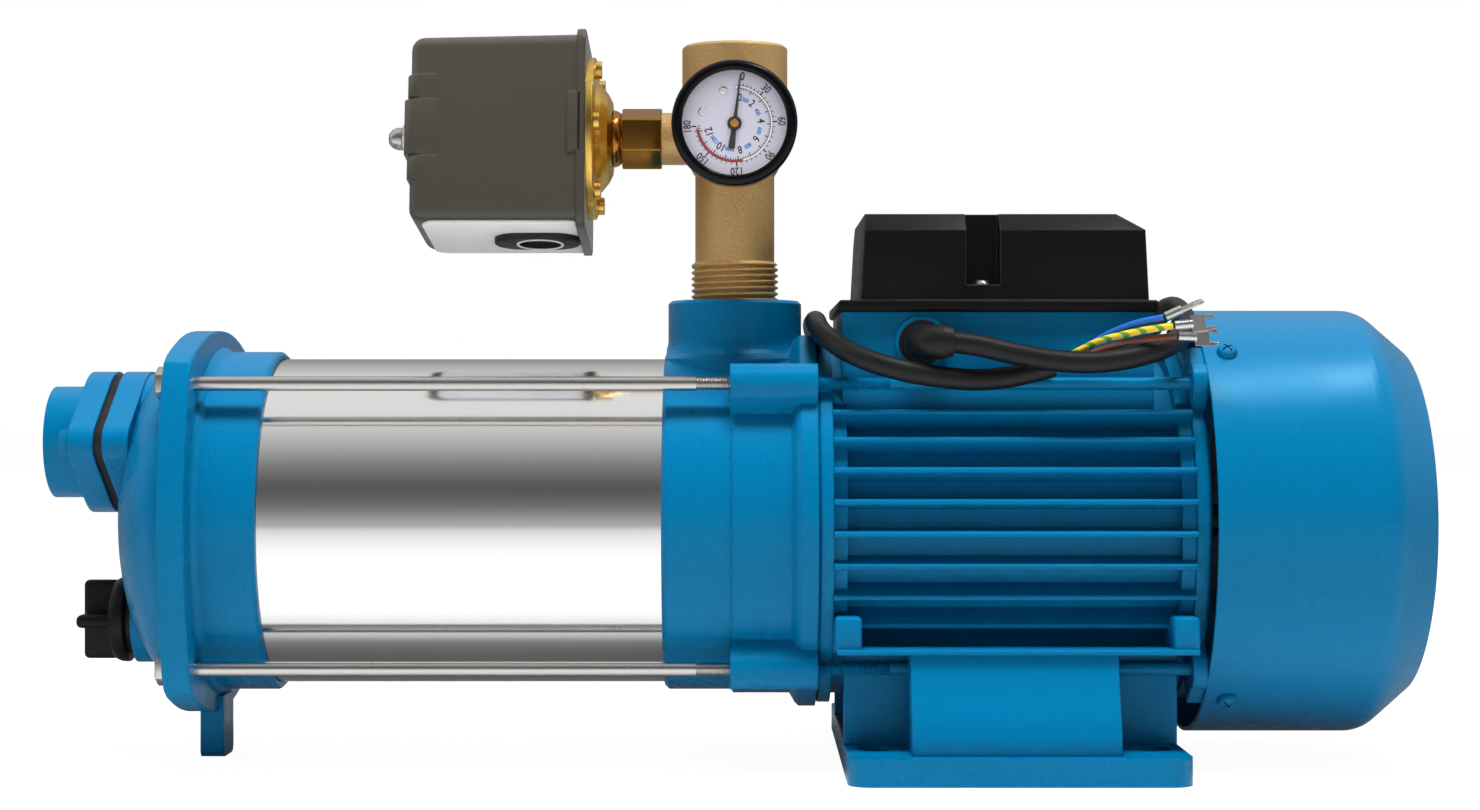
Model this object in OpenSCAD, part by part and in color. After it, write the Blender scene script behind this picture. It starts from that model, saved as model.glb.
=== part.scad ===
// Horizontal multistage garden pump with a pressure switch and a gauge on its outlet.
// Millimetres. The origin is the centre of the foot's hole pattern on the base plane.
// The shaft runs along X, with the fan at +X and the inlet at -X. The viewer's side is -Y.

/* [Shaft line] */
// Height of the shaft above the base plane
shaft_h = 90; // [88:0.5:96]
// Radius of the shaft in the pump stages
shaft_r = 8; // [7:0.1:8.4]
// Radius of the shaft inside the rotor core
core_shaft_r = 11; // [10:0.5:13]
// Radius of the shaft under the fan
fan_shaft_r = 6.5; // [5:0.5:7]

/* [Suction casing] */
// Wall of the cast casings
cast_wall = 5; // [4:0.5:6]
// Depth of the domed end ahead of the square flange
dome_depth = 20.5; // [16:0.5:24]
// Step of the domed end inside the barrel's radius
dome_step = 1.8; // [0:0.1:5]
// Length of the collar that takes the barrel
suction_collar_l = 23.7; // [22:0.1:30]
// Wall of both collars outside the barrel
collar_wall = 2.8; // [2.4:0.1:4]
// Thickness of the square tie-rod flange
rod_flange_t = 9.8; // [7:0.1:13]
// Reach of the square flange at the middle of each side
rod_flange_reach = 72.5; // [70:0.5:75]
// Radius of the bulging sides of the square flange
rod_flange_bulge = 145; // [135:1:170]
// Radius of the rounded corners round the tie rods
corner_r = 7.4; // [6.5:0.1:8]
// Width of the front leg across the pump
leg_w = 19; // [14:0.5:24]
// Thickness of the front leg along the pump
leg_t = 8.9; // [6:0.1:9.5]

/* [Inlet] */
// Height of the inlet axis above the shaft
inlet_rise = 30; // [26:0.5:31]
// Length of the inlet neck ahead of the square flange
neck_l = 17.1; // [12:0.1:24]
// Radius of the inlet neck, and half the height of both oval flanges
neck_r = 27; // [26:0.1:28]
// Radius of the bore through the neck
neck_bore_r = 20.5; // [20.2:0.1:21]
// Distance of the inlet bolts from the inlet axis
inlet_bolt_off = 35; // [34:0.5:37]
// Radius of the rounded ends of the oval flanges
oval_end_r = 7.5; // [6.5:0.1:9]
// Thickness of the casing's oval flange
oval_t = 9.6; // [8:0.1:12]
// Thickness of the bolted inlet flange's plate
inlet_plate_t = 9.5; // [8:0.1:12]
// Thickness of the valve gasket between the oval flanges
gasket_t = 3.3; // [3:0.1:4]
// How far the gasket's edge lies inside the flanges' edge
gasket_inset = 1.2; // [0.8:0.1:2]
// Radius of the inlet socket
socket_r = 21.3; // [20:0.1:24]
// Length of the inlet socket ahead of its plate
socket_l = 14.5; // [10:0.5:20]
// Radius of the core hole of a one inch pipe thread
pipe_core_r = 15.15; // [15.1:0.05:15.4]
// Outer radius of a one inch pipe thread
pipe_thread_r = 16.6; // [16.5:0.05:16.7]
// Radius of the seat that the flap closes on
seat_r = 12.5; // [10:0.5:13.5]
// Radius of the flap
flap_r = 17.3; // [16:0.1:17.6]
// Radius of the weight on the flap
flap_weight_r = 10.5; // [8:0.5:12]
// Thickness of the weight on the flap
flap_weight_t = 2.4; // [1.5:0.1:3]

/* [Drain plug] */
// Height of the drain plug's axis above the base plane
drain_z = 52; // [50:0.5:54]
// Radius of the casing's boss for the drain plug
drain_boss_r = 16.5; // [15:0.1:17]
// Length of the drain boss beyond the square flange
drain_boss_l = 22.4; // [20:0.1:25]
// Radius of the drain plug's cap
plug_cap_r = 16.3; // [14.5:0.1:16.5]
// Thickness of the drain plug's cap
plug_cap_t = 6.3; // [5:0.1:8]
// Length of the drain plug's cross grip
plug_grip_l = 12.1; // [8:0.1:16]
// Thickness of the wings of the cross grip
plug_wing_t = 5; // [3:0.1:6]
// Radius of the drain plug's shank
plug_shank_r = 10.2; // [9:0.1:11]
// Length of the drain plug's shank
plug_shank_l = 12; // [9:0.5:14]
// Thickness of the ring seal under the cap
plug_seal_t = 2.6; // [2.2:0.1:3]

/* [Barrel and tie rods] */
// Outer radius of the steel barrel
barrel_r = 61.8; // [61:0.1:62]
// Wall of the steel barrel
barrel_wall = 1.5; // [1:0.1:1.7]
// Length of the barrel that shows between the collars
barrel_l = 146.5; // [143:0.5:170]
// Depth of the barrel inside each collar
barrel_seat = 18; // [16:0.5:19]
// Thickness of the flat seal at each end of the barrel
barrel_seal_t = 2; // [1.5:0.1:2.2]
// Distance of each tie rod from the shaft, across and up
rod_off = 52; // [51.5:0.1:52.5]
// Radius of the tie rods
rod_r = 2.7; // [2.4:0.05:3]
// Width of the tie rods' hexagon heads across the flats
rod_head_af = 10; // [8:0.5:11]
// Height of the tie rods' heads
rod_head_t = 4; // [3:0.1:5]
// Depth of the tie rods inside the outlet casing's lugs
rod_grip = 20; // [14:0.5:21]

/* [Stages] */
// Length of one stage along the shaft
stage_pitch = 32.4; // [31:0.1:33]
// Outer radius of the impellers
impeller_r = 49; // [40:0.5:50.5]
// Radius of the impellers' inlet eye
eye_r = 17.5; // [15:0.5:19]
// Clear width between the impellers' two discs
impeller_w = 8; // [6:0.5:10]
// Thickness of the stamped discs and vanes
sheet_t = 1.6; // [1.2:0.1:2]
// Number of vanes in each impeller
impeller_vanes = 6; // [5:1:7]
// Number of return vanes in each diffuser
diffuser_vanes = 8; // [6:1:9]
// Running gap round the impellers' eyes
eye_gap = 0.8; // [0.4:0.1:1]
// Outer radius of the hubs and sleeves on the shaft
hub_r = 11; // [10.5:0.1:12]

/* [Outlet casing] */
// Length of the outlet casing's collar
outlet_collar_l = 24.9; // [22:0.1:30]
// Length of the lugs that take the tie rods
lug_l = 32; // [30:0.5:38]
// Step of the body between the lugs outside the barrel
outlet_body_step = 4.2; // [3.4:0.1:6]
// Thickness of the flange on the motor side
motor_flange_t = 7.7; // [6:0.1:9]
// Step of the motor-side flange outside the barrel
motor_flange_step = 9.2; // [8:0.1:10]
// Place of the outlet axis ahead of the foot's centre
outlet_back = 101; // [99:0.5:103]
// Radius of the outlet boss
outlet_boss_r = 25.5; // [24:0.1:27]
// Height of the outlet boss's top above the shaft
outlet_rise = 84; // [80:0.5:90]
// Radius of the fillet at the foot of the outlet boss
outlet_fillet = 7; // [4:0.5:8]

/* [Motor] */
// Thickness of the motor's front shield plate
front_shield_t = 5.4; // [5:0.1:7]
// Radius of the motor's front shield
front_shield_r = 69.5; // [68:0.1:70.5]
// Length of the finned frame
frame_l = 130.4; // [126:0.2:136]
// Radius of the frame between its fins
frame_r = 60.5; // [59:0.1:61.5]
// Wall of the frame
frame_wall = 5.5; // [4.5:0.1:6]
// Radius at the tips of the fins
fin_tip_r = 71; // [68:0.5:73]
// Thickness of a fin at its root
fin_root_t = 3.4; // [2.5:0.1:4]
// Thickness of a fin at its tip
fin_tip_t = 2; // [1.5:0.1:2.5]
// Angle from one fin to the next
fin_step = 9.55; // [9:0.05:10]
// Number of fins on each side
fin_count = 9; // [7:1:9]
// Length of the thicker ring at each end of the frame
frame_ring_l = 5; // [3:0.5:8]
// Radius of the thicker ring at each end of the frame
frame_ring_r = 66; // [64:0.5:68]
// Width of the pads at the frame's ends along the shaft
pad_w = 9.5; // [7:0.5:11]
// Height of the pads at the frame's ends
pad_h = 13.5; // [10:0.5:15]
// Radius of the motor's through bolts
through_bolt_r = 2.4; // [2:0.1:2.6]
// Length of the stator core
stator_l = 76; // [60:1:78]
// Radius of the stator's bore
stator_bore_r = 33; // [30:0.5:34]
// Number of stator slots
stator_slots = 24; // [18:6:30]
// Air gap between the rotor and the stator
air_gap = 0.5; // [0.4:0.1:1]
// Outer radius of both ball bearings
bearing_r = 20; // [19:0.5:21]
// Bore radius of both ball bearings
bearing_bore_r = 8.5; // [8.5:0.1:9]
// Width of both ball bearings
bearing_w = 12; // [10:0.5:12.5]
// Number of balls in each bearing
bearing_balls = 8; // [7:1:8]

/* [Foot] */
// Length of the foot plate along the shaft
foot_l = 122; // [116:1:130]
// Width of the foot plate across the shaft
foot_w = 177.4; // [165:0.5:190]
// Thickness of the foot plate
foot_t = 10; // [8:0.5:12]
// Radius of the foot plate's corners
foot_corner_r = 8; // [5:0.5:12]
// Distance between the foot's holes along the shaft
hole_pitch_x = 100; // [92:1:104]
// Distance between the foot's holes across the shaft
hole_pitch_y = 120; // [118:1:140]
// Radius of the foot's holes
foot_hole_r = 7; // [5:0.5:7.5]
// Length of the foot's middle block along the shaft
block_l = 72; // [60:1:74]
// Half the width of the middle block at the plate
block_half_w = 68; // [64:0.5:72]
// Distance of the foot's side webs from the middle
web_off = 48; // [44:0.5:49]
// Thickness of the foot's side webs
web_t = 4; // [3:0.5:5]

/* [Fan end] */
// Thickness of the rear shield's plate
rear_shield_t = 5.3; // [5:0.1:7]
// Radius of the rear shield
rear_shield_r = 68; // [67:0.5:69]
// Outer radius of the fan cover
cover_r = 80.4; // [79:0.1:82]
// Wall of the fan cover
cover_wall = 1.2; // [1:0.1:1.8]
// Length of the fan cover
cover_l = 81.5; // [78:0.5:90]
// Length of the cover's sloping shoulder
shoulder_l = 17; // [14:0.5:22]
// Radius that rounds the cover's edge into its shoulder
crease_r = 13; // [6:0.5:16]
// Radius of the flat grille
grille_r = 66; // [60:0.5:67]
// Pitch of the rings in the grille
grille_pitch = 8; // [7:0.5:9]
// Width of the rings in the grille
grille_bar = 3; // [2:0.1:4]
// Number of spokes in the grille
grille_spokes = 6; // [4:1:8]
// Radius of the fan
fan_r = 64; // [55:0.5:68]
// Length of the fan's blades along the shaft
fan_blade_l = 24; // [18:0.5:30]
// Number of the fan's blades
fan_blades = 8; // [6:1:10]
// Angle of the cover's screws below the horizontal
cover_screw_angle = 52; // [48:1:56]

/* [Terminal box] */
// Length of the box base along the shaft
box_l = 114; // [108:0.5:118]
// Place of the box base's middle ahead of the foot's centre
box_back = 4.5; // [3:0.5:6]
// Width of the box base across the shaft
box_w = 96; // [92:0.5:100]
// Height of the box base's top above the shaft
box_rise = 78.3; // [76:0.1:82]
// Wall of the box base
box_wall = 3.5; // [3:0.1:4]
// Length of the lid's rim
rim_l = 117; // [116:0.5:120]
// Width of the lid's rim
rim_w = 102; // [101:0.5:105]
// Height of the lid's rim
rim_h = 4.3; // [3:0.1:5]
// Length of the lid's body
lid_l = 106; // [102:0.5:108]
// Height of the lid above the box base
lid_h = 36.3; // [34:0.1:44]
// Wall of the lid
lid_wall = 2.5; // [2:0.1:3]
// Height of the bevel along the lid's upper edges
lid_bevel = 6.3; // [4:0.1:8]
// Width of the screw notches in the lid
notch_w = 12.4; // [11:0.1:14]
// Depth of the screw notches in the lid
notch_d = 9; // [8.5:0.5:11]
// Radius of the starting capacitor
capacitor_r = 16; // [12:0.5:17]
// Length of the starting capacitor
capacitor_l = 62; // [40:1:70]

/* [Cable] */
// Outer radius of the cable gland
gland_r = 7.1; // [6.8:0.1:7.6]
// Place of the gland ahead of the foot's centre
gland_back = 32.6; // [31:0.1:34]
// Height of the gland above the shaft
gland_rise = 67; // [66:0.1:68]
// Radius of the gland's bend
gland_bend = 7; // [6.9:0.1:7.6]
// Radius of the power cable
cord_r = 4; // [3.4:0.05:4.05]
// Radius of each insulated core
core_r = 1.3; // [1:0.1:1.5]
// Width of the fork terminals
fork_w = 6.4; // [5:0.1:7]

/* [Tee] */
// Radius of the tee's pipe below the ports
tee_pipe_r = 15.2; // [15:0.1:16.5]
// Radius of the tee's upper body
tee_body_r = 20.2; // [19:0.1:22]
// Height of the thread that shows below the tee
tee_thread_show = 15; // [10:0.5:18]
// Depth of the tee's thread inside the outlet boss
tee_thread_in = 12; // [9:0.5:14]
// Height of the tee's pipe above its thread
tee_pipe_l = 33; // [28:0.5:36]
// Height of the taper under the tee's upper body
tee_taper = 9; // [5:0.5:12]
// Height of the tee's upper body
tee_body_l = 40.8; // [38:0.1:46]
// Height of the port axis above the upper body's foot
port_rise = 5.5; // [4.5:0.1:7]
// Outer radius of the tee's side ports
port_r = 10; // [9:0.1:11]
// Bore radius of the tee's side ports
port_bore_r = 5; // [4:0.1:5.4]
// Reach of the side ports from the outlet axis
port_reach = 28; // [24:0.5:30]

/* [Gauge] */
// Outer radius of the gauge's bezel
bezel_r = 22.9; // [22:0.1:25]
// Radius of the opening in the bezel
dial_r = 19; // [17:0.1:19.6]
// Depth of the gauge's case
gauge_depth = 24; // [20:0.5:26]
// Distance from the outlet axis to the gauge's back
gauge_stand = 36; // [34:0.5:40]
// Length of the gauge's needle from its pivot to its tip
needle_l = 18; // [12:0.5:18.5]
// Angle of the resting needle, clockwise from the top
needle_rest = 7; // [0:0.5:15]

/* [Pressure switch] */
// Roll of the switch about its own axis
switch_roll = 8.5; // [0:0.5:12]
// Width of the brass union nut across the flats
union_af = 20; // [18:0.5:24]
// Length of the brass union nut
union_l = 15.4; // [12:0.1:18]
// Length of the cone between the nut and the diaphragm flange
switch_cone_l = 3.4; // [2:0.1:5]
// Radius of the diaphragm flange
diaphragm_r = 31; // [28:0.5:33]
// Length of the diaphragm flange's dome
diaphragm_l = 9; // [6:0.5:11]
// Thickness of the switch's base plate
switch_base_t = 3; // [2:0.5:4]
// Length of the switch's cover away from the base
switch_cover_l = 65.2; // [58:0.1:74]
// Height of the switch's cover
switch_cover_h = 77; // [72:0.5:80]
// How far the middle of the cover lies below the port's axis
switch_drop = 2.2; // [0:0.1:4]
// Depth of the switch's cover toward the viewer
switch_cover_w = 60; // [58:0.5:64]
// Radius of the switch cover's long edges
switch_edge_r = 6; // [3:0.5:9]
// Wall of the switch's cover
switch_wall = 2; // [1.5:0.1:2.5]
// Radius of the switch cover's cap nut
cap_nut_r = 5.6; // [5:0.1:6.5]

/* [Hidden] */
// Small overshoot of every cut
eps = 0.05;
// Clearance between pieces that are pushed together
fit = 0.15;
// Clearance round a bolt in its hole
bolt_fit = 0.2;
// Clearance round everything that turns or slides
run = 0.3;
paint = "#0f78a8";
steel = "#c9ccd0";
dark_steel = "#8a8d92";
brass = "#b08a50";
black = "#1b1c1d";
// Small fasteners
inlet_bolt_r = 3;
inlet_bolt_af = 10;
inlet_bolt_head = 4;
through_bolt_af = 7.6;
through_bolt_head = 3.6;
small_screw_r = 2;
small_head_r = 3.8;
small_head_t = 2.4;
cover_lug_l = 14;
cover_lug_w = 10;
cover_screw_in = 8.5;
lid_post = 11;
lid_slot_rise = 10;
// Places along the shaft, from the motor's frame forward
x_frame0 = -frame_l / 2;
x_frame1 = frame_l / 2;
x_flange1 = x_frame0 - front_shield_t;
x_lug1 = x_flange1;
x_lug0 = x_lug1 - lug_l;
x_out0 = x_lug0 - outlet_collar_l;
x_suc1 = x_out0 - barrel_l;
x_sq1 = x_suc1 - suction_collar_l;
x_sq0 = x_sq1 - rod_flange_t;
x_neck = x_sq0 - neck_l;
x_oval = x_neck - oval_t;
x_plate1 = x_oval - gasket_t;
x_plate0 = x_plate1 - inlet_plate_t;
x_socket = x_plate0 - socket_l;
x_tee = -outlet_back;
// Barrel ends and the stage stack between them
x_barrel0 = x_suc1 - barrel_seat;
x_barrel1 = x_out0 + barrel_seat;
x_stack = x_barrel0 + 1;
// Number of impellers, each with its own solid
stages = 5;
stack_l = stages * stage_pitch;
hub_l = impeller_w + 2 * sheet_t + 6;
hub_lead = 2.4;
// From an impeller's hub to its front disc
front_disc = 3;
// Gap behind an impeller, ahead of the diffuser's return plate
back_gap = 1;
return_sweep_r = 34;
vane_sweep_r = 30;
impeller_l = front_disc + 2 * sheet_t + impeller_w;
x_nut = x_stack + hub_lead;
nut_t = 8;
nut_af = 19;
x_shaft0 = x_nut - nut_t - 1.5;
// Wall between the pump and the motor
wall_back = 14;
x_wall0 = x_lug1 - wall_back;
wall_t = 8;
wall_recess_r = 30;
seal_seat_t = 6;
seal_seat_r = 15;
seal_rotor_l = 18;
stack_r = barrel_r - barrel_wall - run;
// Radii that follow the barrel
collar_r = barrel_r + collar_wall;
outlet_body_r = barrel_r + outlet_body_step;
motor_flange_r = barrel_r + motor_flange_step;
chamber_r = barrel_r - 5.8;
dome_r = barrel_r - dome_step;
// Fins and pads, as angles above the shaft's level
fin_first = 36.4;
pad_angle = 35.5;
// Rear end
x_rear1 = x_frame1 + rear_shield_t;
x_cover1 = x_rear1 + cover_l;
// Gap between the rear shield and the fan
fan_gap = 22;
x_fan = x_rear1 + fan_gap;
fan_hub_l = fan_blade_l + 8;
x_shaft1 = x_fan + fan_hub_l + 4;
bearing_seat_l = bearing_w + 3;
hub_wall = 5;
x_bearing_f = x_frame0 + 1;
x_bearing_r = x_frame1 - 1 - bearing_w;
// Inlet and outlet
inlet_z = shaft_h + inlet_rise;
outlet_z = shaft_h + outlet_rise;
flap_t = gasket_t - 0.6;
flap_tab_w = 8;
flap_tab_rise = 1.4;
flap_relief = 4.5;
flap_axis_z = inlet_z + flap_r + flap_tab_rise;
flap_axis_x = (x_oval + x_plate1) / 2;
// Terminal box
box_x0 = -box_back - box_l / 2;
box_z = shaft_h + box_rise;
lid_x0 = -box_back - lid_l / 2 + 2.5;
lid_z = box_z + lid_h;
notch_x = -10;
// Cable
gland_x = -gland_back;
gland_z = shaft_h + gland_rise;
gland_y = -box_w / 2;
gland_len = 8;
gland_exit = 3.5;
cord_in = 1.8;
cord_sides = 10;
// Route of the cable, from the gland round the right end of the box, behind it and back
cord_points = [
  [-23, -63, 157], [-13, -63.5, 155.6], [0, -65.2, 152.6], [12, -67.4, 150.4], [25, -68.6, 149.4],
  [37, -67.8, 150.4], [48, -64.4, 152.8], [57.2, -57.8, 156.2], [63.6, -48, 161],
  [66, -35.5, 166.2], [66.2, -18, 170.6], [66.2, 0, 171.8], [66.2, 18, 170.6], [66, 35.5, 166.2],
  [63.6, 48, 161], [57.2, 57.8, 156], [47.4, 63.6, 151.6], [34.6, 65.6, 148.5], [18.5, 63.9, 146.6],
  [2, 60, 146], [-15, 59.6, 146.2], [-29.5, 62.9, 147.6], [-42.6, 64.3, 150.2], [-54.1, 61, 154],
  [-63.4, 52.6, 158.6], [-68.8, 41.5, 162.8], [-70.2, 28, 165.4], [-70.2, 8, 166.4],
  [-70.2, -12, 166], [-70, -30, 163.6], [-67.8, -44, 159.8], [-61.7, -55.9, 154.8],
  [-52, -62.9, 150], [-39.4, -64.5, 146.4], [-26.2, -62, 144.2], [-13.8, -59.3, 143.3],
  [-3, -58.5, 144.1], [6, -58.5, 146], [14.5, -58.5, 148.2],
];
earth_points = [
  [14.7, -58.5, 150.05], [21.5, -60, 152.8], [31, -63.5, 157.4],
  [44, -67.5, 160.6], [56, -70, 162.5],
];
live_points = [
  [15.3, -60, 147.5], [21.5, -61.3, 149.4], [31, -64, 153.9],
  [44, -66.5, 157.4], [57.5, -68.8, 158.8],
];
neutral_points = [
  [15.3, -57, 147.5], [22, -57.2, 150.6], [32, -59.8, 158.6],
  [43, -64.5, 163.4], [53, -68, 165.5],
];
// Tee
tee_top_z = outlet_z + tee_thread_show + tee_pipe_l + tee_taper + tee_body_l;
port_z = tee_top_z - tee_body_l + port_rise;
tee_bore_r = 11.5;
// Gauge
gauge_y = -gauge_stand;
gauge_face = gauge_y - gauge_depth;
dial_y = gauge_face + 5;
needle_y = dial_y - 1.6;
// Pressure switch, with places along its own axis
sw_union1 = x_tee - port_reach;
sw_union0 = sw_union1 - union_l;
sw_dome1 = sw_union0 - switch_cone_l;
sw_dome0 = sw_dome1 - diaphragm_l;
sw_base0 = sw_dome0 - switch_base_t;
sw_cover0 = sw_base0 - switch_cover_l;
sw_screw_ring = diaphragm_r - 4;
switch_z = port_z - switch_drop;
// Raised pads on the end of the cover
switch_step = 1.2;
switch_pad_h = 40;
switch_boss_h = 21;
// Rubber grommet under the cover
grommet_back = 17;
grommet_l = 33;
grommet_w = 19;

// Lays the children's Z axis along the shaft's direction
module along(x, y = 0, z = shaft_h) {
  translate([x, y, z]) rotate([0, 90, 0]) children();
}

// Round bar between two places along the shaft's direction
module bar(x0, x1, r, y = 0, z = shaft_h) {
  along(x0, y, z) cylinder(r = r, h = x1 - x0);
}

// Hollow round bar between two places along the shaft's direction
module pipe(x0, x1, r_out, r_in, y = 0, z = shaft_h) {
  difference() {
    bar(x0, x1, r_out, y, z);
    bar(x0 - eps, x1 + eps, r_in, y, z);
  }
}

// Solid turned about the shaft's axis from [radius, place] points
module turned(profile) {
  along(0) rotate_extrude() polygon(profile);
}

// Outline drawn across the shaft (Y across, Z up from the axis) and drawn out along it
module slab(x0, x1, y = 0, z = shaft_h) {
  along(x0, y, z) linear_extrude(x1 - x0) rotate(90) children();
}

// Lays the children's Z axis toward the viewer, with X still to the right
module toward(x, y, z) {
  translate([x, y, z]) rotate([90, 0, 0]) children();
}

// Copies the children to the four tie-rod places
module at_rods(off = rod_off) {
  for (sy = [-1, 1], sz = [-1, 1]) translate([0, sy * off, sz * off]) children();
}

// Hexagon by its width across the flats
module hexagon(af) {
  circle(r = af / sqrt(3), $fn = 6);
}

// Points of a circular arc
function arc(cx, cy, r, a0, a1, n) = [for (i = [0 : n]) [
  cx + r * cos(a0 + (a1 - a0) * i / n),
  cy + r * sin(a0 + (a1 - a0) * i / n)
]];

// Points of an arc of an ellipse
function oval_arc(cx, cy, rx, ry, a0, a1, n) = [for (i = [0 : n]) [
  cx + rx * cos(a0 + (a1 - a0) * i / n),
  cy + ry * sin(a0 + (a1 - a0) * i / n)
]];

function unit(v) = v / norm(v);
// Point on a smooth curve through the route's points
function blend_point(p, i, t) =
  let (a = p[max(i - 1, 0)], b = p[i], c = p[i + 1], d = p[min(i + 2, len(p) - 1)])
  0.5 * (2 * b + (c - a) * t + (2 * a - 5 * b + 4 * c - d) * t * t
    + (3 * b - a - 3 * c + d) * t * t * t);
function smooth_route(p, steps) = [
  for (i = [0 : len(p) - 2], k = [0 : steps - 1]) blend_point(p, i, k / steps),
  p[len(p) - 1]
];
function heading(p, i) = unit(p[min(i + 1, len(p) - 1)] - p[max(i - 1, 0)]);

// Round cable swept along a route as one closed solid
module cable(route, r, sides, steps) {
  p = smooth_route(route, steps);
  n = len(p);
  points = [for (i = [0 : n - 1])
    let (
      h = heading(p, i),
      u = unit(cross(h, abs(h[2]) > 0.9 ? [1, 0, 0] : [0, 0, 1])),
      v = cross(h, u)
    )
    for (k = [0 : sides - 1]) p[i] + r * (cos(360 * k / sides) * u + sin(360 * k / sides) * v)
  ];
  walls = [for (i = [0 : n - 2], k = [0 : sides - 1])
    let (a = i * sides + k, b = i * sides + (k + 1) % sides)
    each [[a, b, b + sides], [a, b + sides, a + sides]]
  ];
  start_cap = [for (k = [1 : sides - 2]) [0, k + 1, k]];
  end = (n - 1) * sides;
  end_cap = [for (k = [1 : sides - 2]) [end, end + k, end + k + 1]];
  polyhedron(points, concat(walls, start_cap, end_cap));
}

// Square flange with bulging sides, drawn across the shaft
module square_outline(reach, bulge) {
  corner = sqrt(2) * rod_off + corner_r - 4;
  intersection() {
    for_sides(reach, bulge);
    circle(r = corner);
  }
  for (sy = [-1, 1], sz = [-1, 1]) translate([sy * rod_off, sz * rod_off]) circle(r = corner_r);
}

// Area inside four large arcs that bulge at the middle of each side
module for_sides(reach, bulge) {
  intersection() {
    translate([reach - bulge, 0]) circle(r = bulge);
    translate([bulge - reach, 0]) circle(r = bulge);
    translate([0, reach - bulge]) circle(r = bulge);
    translate([0, bulge - reach]) circle(r = bulge);
  }
}

// Oval two-bolt flange, drawn across the inlet axis
module oval_outline(shrink = 0) {
  hull() {
    circle(r = neck_r - shrink, $fn = 64);
    for (side = [-1, 1]) translate([side * inlet_bolt_off, 0]) circle(r = oval_end_r - shrink, $fn = 32);
  }
}

module suction_casing() {
  x_dome = x_sq0 - dome_depth;
  inner_dome = dome_depth - cast_wall;
  color(paint) difference() {
    union() {
      turned(concat(
        [[0, x_sq1], [0, x_dome]],
        oval_arc(0, x_sq0, dome_r, -dome_depth, 82, 0, 10),
        [[dome_r, x_sq1]]
      ));
      turned([[0, x_sq1 - 1], [collar_r + 1.6, x_sq1 - 1], [collar_r + 1.6, x_sq1 + 1.2],
        [collar_r, x_sq1 + 3], [collar_r, x_suc1 - 1.2], [collar_r - 1.2, x_suc1], [0, x_suc1]]);
      slab(x_sq0, x_sq1) square_outline(rod_flange_reach, rod_flange_bulge);
      bar(x_oval + 1, x_sq0, neck_r - 0.8, 0, inlet_z);
      slab(x_oval, x_neck, 0, inlet_z) oval_outline();
      bar(x_sq0 - drain_boss_l, x_sq0, drain_boss_r, 0, drain_z);
      suction_leg();
    }
    turned(concat(
      [[0, x_sq1], [0, x_sq0 - inner_dome]],
      oval_arc(0, x_sq0, dome_r - cast_wall, -inner_dome, 82, 0, 10),
      [[dome_r - cast_wall, x_barrel0 - barrel_seal_t], [0, x_barrel0 - barrel_seal_t]]
    ));
    bar(x_barrel0 - barrel_seal_t, x_suc1 + eps, barrel_r + fit);
    bar(x_oval - eps, x_sq0 - cast_wall, neck_bore_r, 0, inlet_z);
    bar(x_sq0 - drain_boss_l - eps, x_sq0 - 4, plug_shank_r + run, 0, drain_z);
    at_rods() bar(x_sq0 - eps, x_sq1 + eps, rod_r + bolt_fit);
    for (side = [-1, 1]) {
      bar(x_oval - eps, x_neck + eps, inlet_bolt_r, side * inlet_bolt_off, inlet_z);
    }
  }
}

// Flat front leg under the square flange, with rounded lower corners
module suction_leg() {
  toe = 3;
  foot_x = (x_sq0 + x_sq1) / 2 + 2.5;
  translate([foot_x - leg_t / 2, 0, 0]) rotate([90, 0, 90]) linear_extrude(leg_t) {
    translate([-leg_w / 2, toe]) square([leg_w, shaft_h - rod_flange_reach + 3]);
    translate([toe - leg_w / 2, 0]) square([leg_w - 2 * toe, 2 * toe]);
    for (side = [-1, 1]) translate([side * (leg_w / 2 - toe), toe]) circle(r = toe);
  }
}

module inlet_flange() {
  color(paint) difference() {
    union() {
      slab(x_plate0, x_plate1, 0, inlet_z) oval_outline();
      bar(x_socket, x_plate0 + 1, socket_r, 0, inlet_z);
    }
    bar(x_socket - eps, x_plate1 - 4, pipe_core_r, 0, inlet_z);
    bar(x_plate1 - 5, x_plate1 + eps, seat_r, 0, inlet_z);
    for (side = [-1, 1]) {
      bar(x_plate0 - eps, x_plate1 + eps, inlet_bolt_r + bolt_fit, side * inlet_bolt_off, inlet_z);
    }
  }
}

module inlet_bolts() {
  color(paint) for (side = [-1, 1]) {
    slab(x_plate0 - inlet_bolt_head, x_plate0, side * inlet_bolt_off, inlet_z) hexagon(inlet_bolt_af);
    bar(x_plate0 - 1, x_neck - 0.5, inlet_bolt_r - bolt_fit, side * inlet_bolt_off, inlet_z);
  }
}

// Rubber gasket whose middle is the valve's flap
module valve_gasket() {
  color(black) difference() {
    slab(x_plate1, x_oval, 0, inlet_z) oval_outline(gasket_inset);
    bar(x_plate1 - eps, x_oval + eps, flap_r + run, 0, inlet_z);
    translate([x_plate1 - eps, -flap_tab_w / 2 - flap_relief, inlet_z]) {
      cube([gasket_t + 2 * eps, flap_tab_w + 2 * flap_relief, flap_r + flap_tab_rise + 1.3]);
    }
    for (side = [-1, 1]) {
      bar(x_plate1 - eps, x_oval + eps, inlet_bolt_r + bolt_fit, side * inlet_bolt_off, inlet_z);
    }
  }
}

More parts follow.
